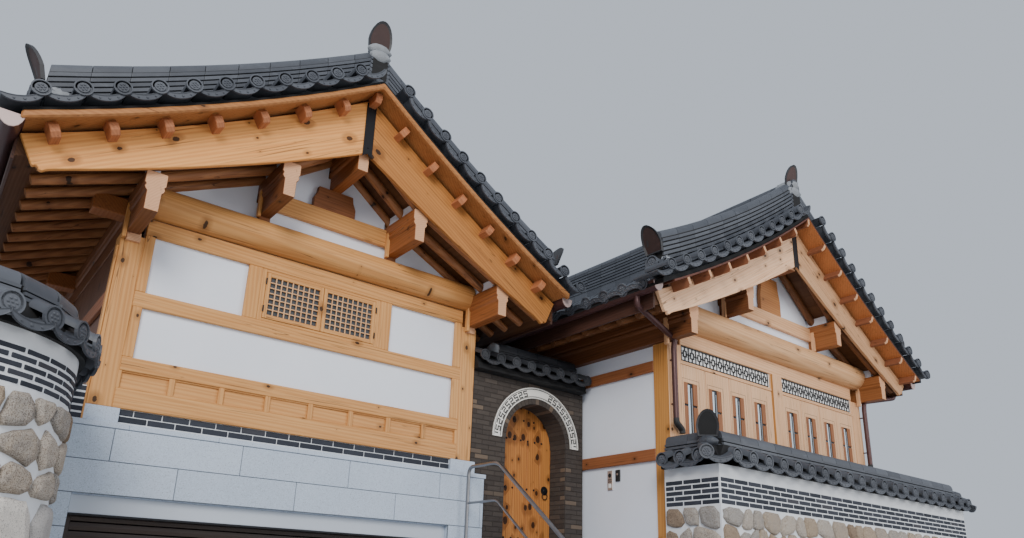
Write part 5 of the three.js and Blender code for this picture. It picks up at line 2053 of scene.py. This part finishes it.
def left_base():
    """The plinth blocks under the posts and the brick course between them."""
    wing, (foot, top) = LEFT, LEFT_BASE
    left, right = (wing.middle + side * (wing.half - wing.post / 2) for side in (-1, 1))
    made = []
    reach = wing.post / 2 + 0.008
    for x in (left, right):
        for y in (wing.front + wing.post / 2, REAR_FACE - wing.post / 2):
            made.append(block((x - 0.170, x + 0.170), (y - reach, y + reach), (foot, top), "granite"))
    x0, x1, y0, y1 = left - 0.07, right + 0.07, wing.front + 0.030, REAR_FACE - 0.030
    made.append(block((x0, x1), (y0, y1), (foot, top), "white_mortar", 0))
    bricks = brick_kind(0.240, 0.0595, 0.010, "black_brick")
    sides = (
        ((0, y0, 0), (1, 0, 0), (0, -1, 0), (left + 0.17, right - 0.17)),
        ((0, y1, 0), (-1, 0, 0), (0, 1, 0), (-right + 0.17, -left - 0.17)),
        ((x0, 0, 0), (0, -1, 0), (-1, 0, 0), (-y1 + 0.19, -y0 - 0.19)),
        ((x1, 0, 0), (0, 1, 0), (1, 0, 0), (0.35, y1 - 0.19)),
    )
    for origin, along, out, span in sides:
        place = wall_seat(origin, along, out, 0.008)
        made += brick_panel(bricks, place, span, top - bricks.rise * 2, 2)
    drop(bricks.model)
    finished("left_base_course", made, ("left_floor",))


def stub_wall():
    """The short brick wall beside the left wing's corner post."""
    left, right, front, rear, foot, top = STUB
    made = [block((left, right), (front, rear), (foot, top), "white_mortar")]
    rise = (top - foot) / BRICK_ROWS
    bricks = brick_kind(0.134, rise, 0.016, "black_brick")
    before = wall_seat((0, front, 0), EAST, FRONT, 0.003)
    beside = wall_seat((left, 0, 0), (0, -1, 0), (-1, 0, 0), 0.003)
    heights = [foot + rise * (row + 0.5) for row in range(BRICK_ROWS)]
    seats = [before((left + right) / 2, z, 1) for z in heights]
    seats += [beside(-0.03, z, 1.3) for z in heights]
    made += copies(bricks.model, seats)
    drop(bricks.model)
    made.append(block((-5.110, -5.0925), (-0.075, -0.040), (foot, 4.45), "left_pine_z"))
    finished("left_stub_wall", made)


def garden_walls():
    """Five brick rows over rubble stones, on the garden wall's front and both sides."""
    g = GARDEN
    inset, split = 0.01, 2.508
    front = wall_seat((0, g.front, 0), EAST, FRONT, 0.004)
    faces = [(front, (g.left + inset, g.right - inset))]
    for x, out in ((g.left, -1), (g.right, 1)):
        side = wall_seat((x, 0, 0), (0, out, 0), (out, 0, 0), 0.004)
        faces.append((side, sorted((out * (g.front + inset), out * (g.rear - inset)))))
    bricks = brick_kind(0.250, 0.0588, 0.014, "black_brick")
    made = []
    for place, span in faces:
        made += brick_panel(bricks, place, span, split, BRICK_ROWS)
    drop(bricks.model)
    finished("garden_wall_bricks", made)
    panels = [(place, span, (0.02, split - 0.012)) for place, span in faces]
    finished("garden_wall_stones", rubble("rubble", panels, 0.235, 0.018, 0.034))


def street_place(radius, proud):
    """Places on the street wall's rounded line, from its far end round to its rear."""
    s = STREET
    bend = math.pi / 2 * s.radius

    def place(u, z, share):
        if u < s.straight:
            at = Vector((s.x - s.straight + u, s.y - radius, z))
            along, out = Vector((1, 0, 0)), Vector((0, -1, 0))
        elif u < s.straight + bend:
            turn = (u - s.straight) / s.radius
            out = Vector((math.sin(turn), -math.cos(turn), 0))
            along = Vector((math.cos(turn), math.sin(turn), 0))
            at = Vector((s.x, s.y, z)) + out * radius
        else:
            at = Vector((s.x + radius, s.y + u - s.straight - bend, z))
            along, out = Vector((0, 1, 0)), Vector((1, 0, 0))
        return facing(at + out * proud, along, out, share)

    return place, s.straight + bend + (s.rear - s.y)


def street_wall(tiles):
    """Five brick rows over brown stones, and large grey stones below them."""
    place, length = street_place(STREET.radius, 0.004)
    split = 2.675
    bricks = brick_kind(0.203, 0.0500, 0.022, "black_brick", 0.019)
    made = brick_panel(bricks, place, (0.02, length - 0.02), split, BRICK_ROWS)
    drop(bricks.model)
    finished("street_wall_bricks", made)
    kinds = (
        ("street_wall_stones", "rubble", (2.03, split - 0.02), 0.235, 0.038),
        ("street_wall_boulders", "grey_stone", (0.02, 2.02), 0.40, 0.045),
    )
    for name, look, z, size, relief in kinds:
        made = rubble(look, [(place, (0.01, length - 0.01), z)], size, 0.020, relief)
        finished(name, made)
    street_coping(tiles, length)


# The gate and its steps


def gate_bricks():
    """Dark bricks on the gate wall, on the sides of its opening and round its arch."""
    bricks = brick_kind(0.200, 0.0592, 0.009, "gate_brick")
    rows, edge, proud = 35, 0.004, 0.0045
    foot = GATE_TOP - rows * bricks.rise
    low_rows = math.ceil((SPRING - foot) / bricks.rise)

    def clear_of_arch(u, z, size):
        return math.hypot(max(0.0, abs(u) - size / 2), z - SPRING) > 0.605

    made = []
    front = wall_seat((0, 0, 0), EAST, FRONT, proud)
    rear = wall_seat((0, GATE_DEPTH, 0), (-1, 0, 0), (0, 1, 0), proud)
    for u0, u1 in ((GATE_LEFT + edge, -ARCH_RADIUS), (ARCH_RADIUS, GATE_RIGHT - edge)):
        made += brick_panel(bricks, front, (u0, u1), foot, low_rows)
        made += brick_panel(bricks, rear, (-u1, -u0), foot, low_rows)
    split = foot + bricks.rise * low_rows
    for place, a, b in ((front, GATE_LEFT, GATE_RIGHT), (rear, -GATE_RIGHT, -GATE_LEFT)):
        made += brick_panel(bricks, place, (a + edge, b - edge), split, rows - low_rows, clear_of_arch)
    for out in (1, -1):
        side = wall_seat((-out * ARCH_RADIUS, 0, 0), (0, out, 0), (out, 0, 0), 0.004)
        span = sorted((out * edge, out * (GATE_DEPTH - edge)))
        made += brick_panel(bricks, side, span, foot + bricks.rise, low_rows - 1)
    drop(bricks.model)
    wedges = 27
    step = math.pi / wedges
    corners = []
    for radius, side in ((0.496, -1), (0.496, 1), (0.572, 1), (0.572, -1)):
        turn = step * 0.46
        corners.append((radius * math.sin(side * turn), radius * math.cos(turn)))
    wedge = carried(corners, "y", -0.006, GATE_DEPTH + 0.006, "gate_brick", 0.003)
    turns = [-math.pi / 2 + step * (index + 0.5) for index in range(wedges)]
    seats = [Matrix.Translation((0, 0, SPRING)) @ Matrix.Rotation(turn, 4, "Y") for turn in turns]
    made += copies(wedge, seats)
    drop(wedge)
    finished("gate_brickwork", made)


def arch_strip(radii, turns, y, look, steps):
    """A curved strip between two radii and two turns in degrees from the arch's crown."""
    start, end = turns
    way_round = [math.radians(start + (end - start) * index / steps) for index in range(steps + 1)]
    ring = [(radii[1], turn) for turn in way_round] + [(radii[0], turn) for turn in way_round[::-1]]
    points = [(radius * math.sin(turn), SPRING + radius * math.cos(turn)) for radius, turn in ring]
    return carried(points, "y", *y, look)


def arch_band():
    """A pale band round the arch: two rims, a key pattern sunk between them, a bare middle. The
    pattern's strokes and the thin lines by the rims are black, as painted shade of the sunk pattern.
    """
    inner, outer, ground = 0.571, 0.711, -0.010
    strips = (
        (inner, outer, 90, -0.012, -0.0006, "cream", 40),
        (inner, inner + 0.014, 90, -0.018, ground, "cream", 40),
        (outer - 0.014, outer, 90, -0.018, ground, "cream", 40),
        (inner + 0.030, outer - 0.030, 15, -0.0165, ground, "cream", 12),
        # Thin black lines by the rims: painted shade
        (inner + 0.016, inner + 0.024, 89, -0.0135, ground, "fret_black", 40),
        (outer - 0.024, outer - 0.016, 89, -0.0135, ground, "fret_black", 40),
    )
    made = []
    for low, high, reach, front, back, look, steps in strips:
        made.append(arch_strip((low, high), (-reach, reach), (front, back), look, steps))
    cell, thick, first_turn, keys = 0.0165, 0.0145, 17, 11
    low = inner + 0.034
    middle = low + 2 * cell
    pitch = math.degrees(5.2 * cell / middle)

    def stroke(side, start, across, upward):
        ends = [(across[0] * cell - thick / 2) / middle, (across[1] * cell + thick / 2) / middle]
        turns = sorted(side * (start + math.degrees(end)) for end in ends)
        if max(map(abs, turns)) > 88.5:
            return
        radii = (low + upward[0] * cell - thick / 2, low + upward[1] * cell + thick / 2)
        front, steps = (-0.0138, 3) if across[1] > across[0] else (-0.0141, 1)
        # Each stroke of the key pattern is black: painted shade of the sunk pattern
        made.append(arch_strip(radii, turns, (front, ground), "fret_black", steps))

    for side in (-1, 1):
        for index in range(keys):
            for (a0, b0), (a1, b1) in KEY_STROKES:
                across = sorted((3 - a0, 3 - a1) if index % 2 else (a0, a1))
                stroke(side, first_turn + index * pitch, across, sorted((b0, b1)))
    finished("gate_arch_fretwork", made, ("gate_arch_band",))


def door():
    """Upright planks cut to the arch, rows of studs, and the iron ring on its plate."""
    half, foot, front, rear, gap = 0.540, SILL + 0.010, 0.310, 0.360, 0.0015
    made = []
    for a, b in shares(-half, half, 5, gap):
        xs = [b - (b - a) * step / 5 for step in range(6)]
        top = [(x, SPRING + math.sqrt(max(half**2 - x * x, 0))) for x in xs]
        plank = carried([(a, foot), (b, foot)] + top, "y", front, rear, "door_pine", 0.004)
        made.append(toned(plank, DICE.random()))
    x, z = (-half + 0.02, half - 0.02), (foot + 0.25, foot + 0.37)
    made.append(block(x, (rear - 0.015, rear - HAIR), z, "door_pine"))
    pivot = Vector((-0.525, (front + rear) / 2, 0))
    made.append(bar(pivot + UP * (SILL + 0.001), pivot + UP * (foot + 0.01), 0.014, "iron", 12))
    plate = Vector((0.41, front - 0.0003, 2.808))
    for height, number, centre, pitch in STUD_ROWS:
        for index in range(number):
            x = centre + (index - (number - 1) / 2) * pitch
            if abs(x - plate.x) > 0.08 or abs(height - plate.z) > 0.09:
                made.append(stud(Vector((x, front - HAIR, height))))
    finished("gate_door_planks", made, ("gate_door",), "gate_leaf")
    pull = [bar(plate, plate + FRONT * 0.008, 0.058, "iron", 28, 0.055)]
    pull.append(bar(plate + FRONT * 0.007, plate + FRONT * 0.016, 0.022, "iron", 16, 0.012))
    let_go()
    bpy.ops.mesh.primitive_torus_add(
        location=(plate.x, front - 0.014, 2.735),
        rotation=(math.pi / 2 + 0.08, 0, 0),
        major_radius=0.042,
        minor_radius=0.0055,
        major_segments=28,
        minor_segments=8,
    )
    pull.append(smooth(dressed(fixed(), "iron"), 60))
    pull.append(bar((plate.x, front - 0.012, 2.790), (plate.x, front - 0.014, 2.772), 0.008, "iron", 8))
    finished("gate_door_ring", pull, ("gate_door_pull",), "gate_leaf")


def stud(centre):
    let_go()
    bpy.ops.mesh.primitive_uv_sphere_add(segments=12, ring_count=6, radius=0.014, location=centre)
    piece = fixed()
    edit_all(piece)
    bpy.ops.mesh.bisect(plane_co=centre, plane_no=(0, 1, 0), use_fill=True, clear_outer=True)
    edit_done()
    return smooth(dressed(piece, "iron"), 50)


def door_frame():
    low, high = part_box("gate_door_frame")
    y, top = (low.y, high.y), SPRING + 0.540 + 0.030
    jambs = (-0.720, -0.600), (0.600, 0.720)
    made = [block(x, y, (low.z, top), "left_pine_z", EASED_EDGE) for x in jambs]
    made.append(block((low.x, high.x), y, (top - LAP, high.z), "left_pine_x", 0.008))
    finished("gate_frame_posts", made, ("gate_door_frame",))


def gate_steps():
    """Granite steps: each tread a slab with a small nosing, on a solid body."""
    rise = STEP_RISE
    left, right, mid = -1.200, 0.790, 0.630
    beside, nosing, top_rear = PODIUM_HIGH.x + 0.021, 0.02, -0.1206
    made = []

    def slab(rear, front, top):
        reach = mid if front < RIGHT.front - 0.0153 else right
        made.append(block((left, reach), (front, rear), (top - rise, top), "granite", EASED_EDGE))

    slab(top_rear, -LANDING, SILL)
    made.append(block((beside, right), (-0.1205, -0.001), (SILL - rise, SILL), "granite"))
    body = [(top_rear, 0), (top_rear, SILL - rise + 0.01), (-LANDING + nosing, SILL - rise + 0.01)]
    for index in range(1, RISERS):
        y = -LANDING - (index - 1) * TREAD
        slab(y + nosing, y - TREAD, SILL - index * rise)
        top = max(SILL - (index + 1) * rise + 0.01, 0.02)
        body += [(y + nosing, top), (y - TREAD + nosing, top)]
    body.append((-LANDING - (RISERS - 1) * TREAD + nosing, 0))
    made.append(carried(body, "x", left + 0.012, mid - 0.012, "granite"))
    made.append(block((beside + LAP, right), (-0.12, -0.002), (0, SILL - rise), "granite", 0))
    made.append(block((-0.4995, 0.4995), (-0.001, GATE_DEPTH), (SILL - 0.5, SILL), "granite"))
    finished("gate_step_slabs", made, ("gate_steps",))


def handrail():
    """A bent steel tube beside the steps, with a lower rail and posts."""
    x, top, lower, radius, rear, end = -1.160, 2.885, 2.480, 0.020, -0.190, -2.700

    def at(height, y):
        return Vector((x, y, height - max(0.0, -LANDING - y) * STEP_RISE / TREAD))

    def shoe(y, foot, height):
        return bar((x, y, foot + HAIR), (x, y, foot + height), 0.042, "steel", 16, 0.038)

    upper = [(x, rear, SILL + 0.001), (x, rear, top), at(top, -LANDING), at(top, end)]
    made = [tube(rounded_path(upper, 0.09, 6), radius, "steel", 4)]
    middle = [(x, rear, lower), at(lower, -LANDING), at(lower, end + 0.05)]
    made.append(tube(rounded_path(middle, 0.05, 4), radius * 0.66, "steel", 3))
    for step in (5, 8):
        y = -LANDING - (step + 0.5) * TREAD
        foot = SILL - (step + 1) * STEP_RISE
        made.append(tube([(x, y, foot + LAP), at(top, y)], radius * 0.9, "steel", 3))
        made.append(shoe(y, foot, 0.008))
    made.append(shoe(rear, SILL, 0.009))
    finished("steps_handrail", made, ("handrail",))


# Gutters, pipes and plates


def gutter(x, y0, y1, top, width, depth):
    """A half-round gutter below an eave, with end caps."""
    outer = [(-width / 2, 0)] + arc(width / 2, 190, 350, 8, depth / width * 1.8) + [(width / 2, 0)]
    inner = [(a * 0.90, b * 0.90) for a, b in outer]
    ring = outer + inner[::-1]
    made = [smooth(carried([(x + a, top + b) for a, b in ring], "y", y0, y1, "gutter"), 35)]
    for x_lip in (x - width / 2, x + width / 2):
        made.append(bar((x_lip, y0, top), (x_lip, y1, top), 0.009, "gutter", 8))
    caps = [(x + a * 1.04, top + b * 1.04) for a, b in outer]
    for a, b in ((y0 - 0.008, y0 + 0.004), (y1 - 0.004, y1 + 0.008)):
        made.append(carried(caps, "y", a, b, "gutter_cap", 0.002))
    return made


def downpipe(eave_x, wall_x, eave_top, foot_x, clamp):
    """A pipe that bends from the gutter back to the corner post, with a black elbow at its foot."""
    y, eave_y = -1.560, -1.760
    bends = [(eave_x, eave_y, eave_top - 0.08), (eave_x, eave_y, eave_top - 0.20)]
    bends += [(wall_x, y - 0.015, 4.560), (wall_x, y, 4.440), (wall_x, y, 3.560)]
    made = [tube(rounded_path(bends, 0.05, 4), 0.036, "gutter", 3)]
    elbow = [(wall_x, y, 3.570), (wall_x, y, 3.520), (foot_x, y, 3.444), (foot_x, y, 3.400)]
    made.append(tube(rounded_path(elbow, 0.04, 4), 0.038, "fret_black", 3))
    for height in (4.300, 3.750):
        z = (height - 0.008, height + 0.008)
        made.append(block(clamp, (y + 0.015, -1.498), z, "gutter", THIN_EDGE))
    return made


def pipes():
    """Gutters below all four eaves, and a downpipe at each eave of the right wing."""
    eaves = (
        (RIGHT, 0, 0.105, -2.080, 5.700, 0, (0.150, 0.115), (0.850, 0.954, (0.838, 0.862))),
        (RIGHT, 1, 0.075, -2.080, 5.700, 0, (0.150, 0.115), (5.462, 5.440, (5.400, 5.425))),
        (LEFT, 0, 0.085, -0.980, 5.900, 0.01, (0.170, 0.130), None),
        (LEFT, 1, 0.080, -0.900, 5.900, 0, (0.150, 0.115), None),
    )
    made = []
    for wing, side, out_by, front, rear, fall, size, pipe in eaves:
        reach = wing.board_reach[side]
        x = wing.middle + way(side) * (reach + out_by)
        top = board_top(wing, side, reach) + 0.045 - fall
        made += gutter(x, front, rear, top, *size)
        if pipe:
            wall_x, foot_x, clamp = pipe
            made += downpipe(x, wall_x, top, foot_x, clamp)
    finished("gutters_and_downpipes", made)


def door_plates():
    """A bell plate and a card reader on the right wing's side wall."""
    x = RIGHT.middle - RIGHT.half + SETBACK
    proud = (x - 0.020, x - 0.014)
    made = [block((x - 0.016, x), (-0.520, -0.430), (2.800, 3.045), "plate_silver")]
    made.append(bar((proud[0], -0.475, 2.985), (proud[1], -0.475, 2.985), 0.026, "fret_black", 18))
    made.append(block(proud, (-0.497, -0.453), (2.830, 2.880), "paper", THIN_EDGE))
    for z in (2.905, 2.931):
        for y in (-0.498, -0.475, -0.452):
            key = (y - 0.006, y + 0.006), (z - 0.008, z + 0.008)
            made.append(block((x - 0.020, x - 0.015), *key, "fret_black", THIN_EDGE))
    made.append(block((x - 0.020, x), (-0.650, -0.570), (2.900, 3.045), "fret_black", EASED_EDGE))
    made.append(bar((x - 0.024, -0.610, 2.990), (x - 0.018, -0.610, 2.990), 0.014, "plate_silver", 14))
    finished("gate_bell_plates", made)


# Floor


def pale_floor():
    let_go()
    bpy.ops.mesh.primitive_plane_add(size=120, location=(0, 0, -0.002))
    floor = dressed(bpy.context.active_object, "floor")
    floor.name = "studio_floor"


def build():
    set_camera()
    set_light()
    make_looks()
    pale_floor()
    keep_nodes()
    tiles = make_tile_models()
    for wing in (LEFT, RIGHT):
        tile_bed(wing)
        for side in (0, 1):
            roof_field(wing, side, tiles)
        for at_front in (True, False):
            verge_tiles(wing, at_front, tiles)
        ridges(wing, tiles)
        roof_boards(wing)
        rafters(wing)
        roof_frame(wing)
        for at_front in (True, False):
            verge_woodwork(wing, at_front)
    for at_front in (True, False):
        left_gable(at_front)
        left_window(at_front)
        right_gable(at_front)
        for bay in (0, 1):
            casements(at_front, bay)
    side_frames(LEFT, LEFT_RAILS[:3], "left_pine_z")
    side_frames(RIGHT, RIGHT_SIDE_RAILS, "post_pine")
    podium_facing()
    podium_coping()
    garage_shutter()
    left_base()
    stub_wall()
    gate_bricks()
    arch_band()
    door()
    door_frame()
    gate_roof(tiles)
    gate_steps()
    handrail()
    garden_walls()
    garden_coping(tiles)
    street_wall(tiles)
    pipes()
    door_plates()
    drop(*vars(tiles).values())


build()
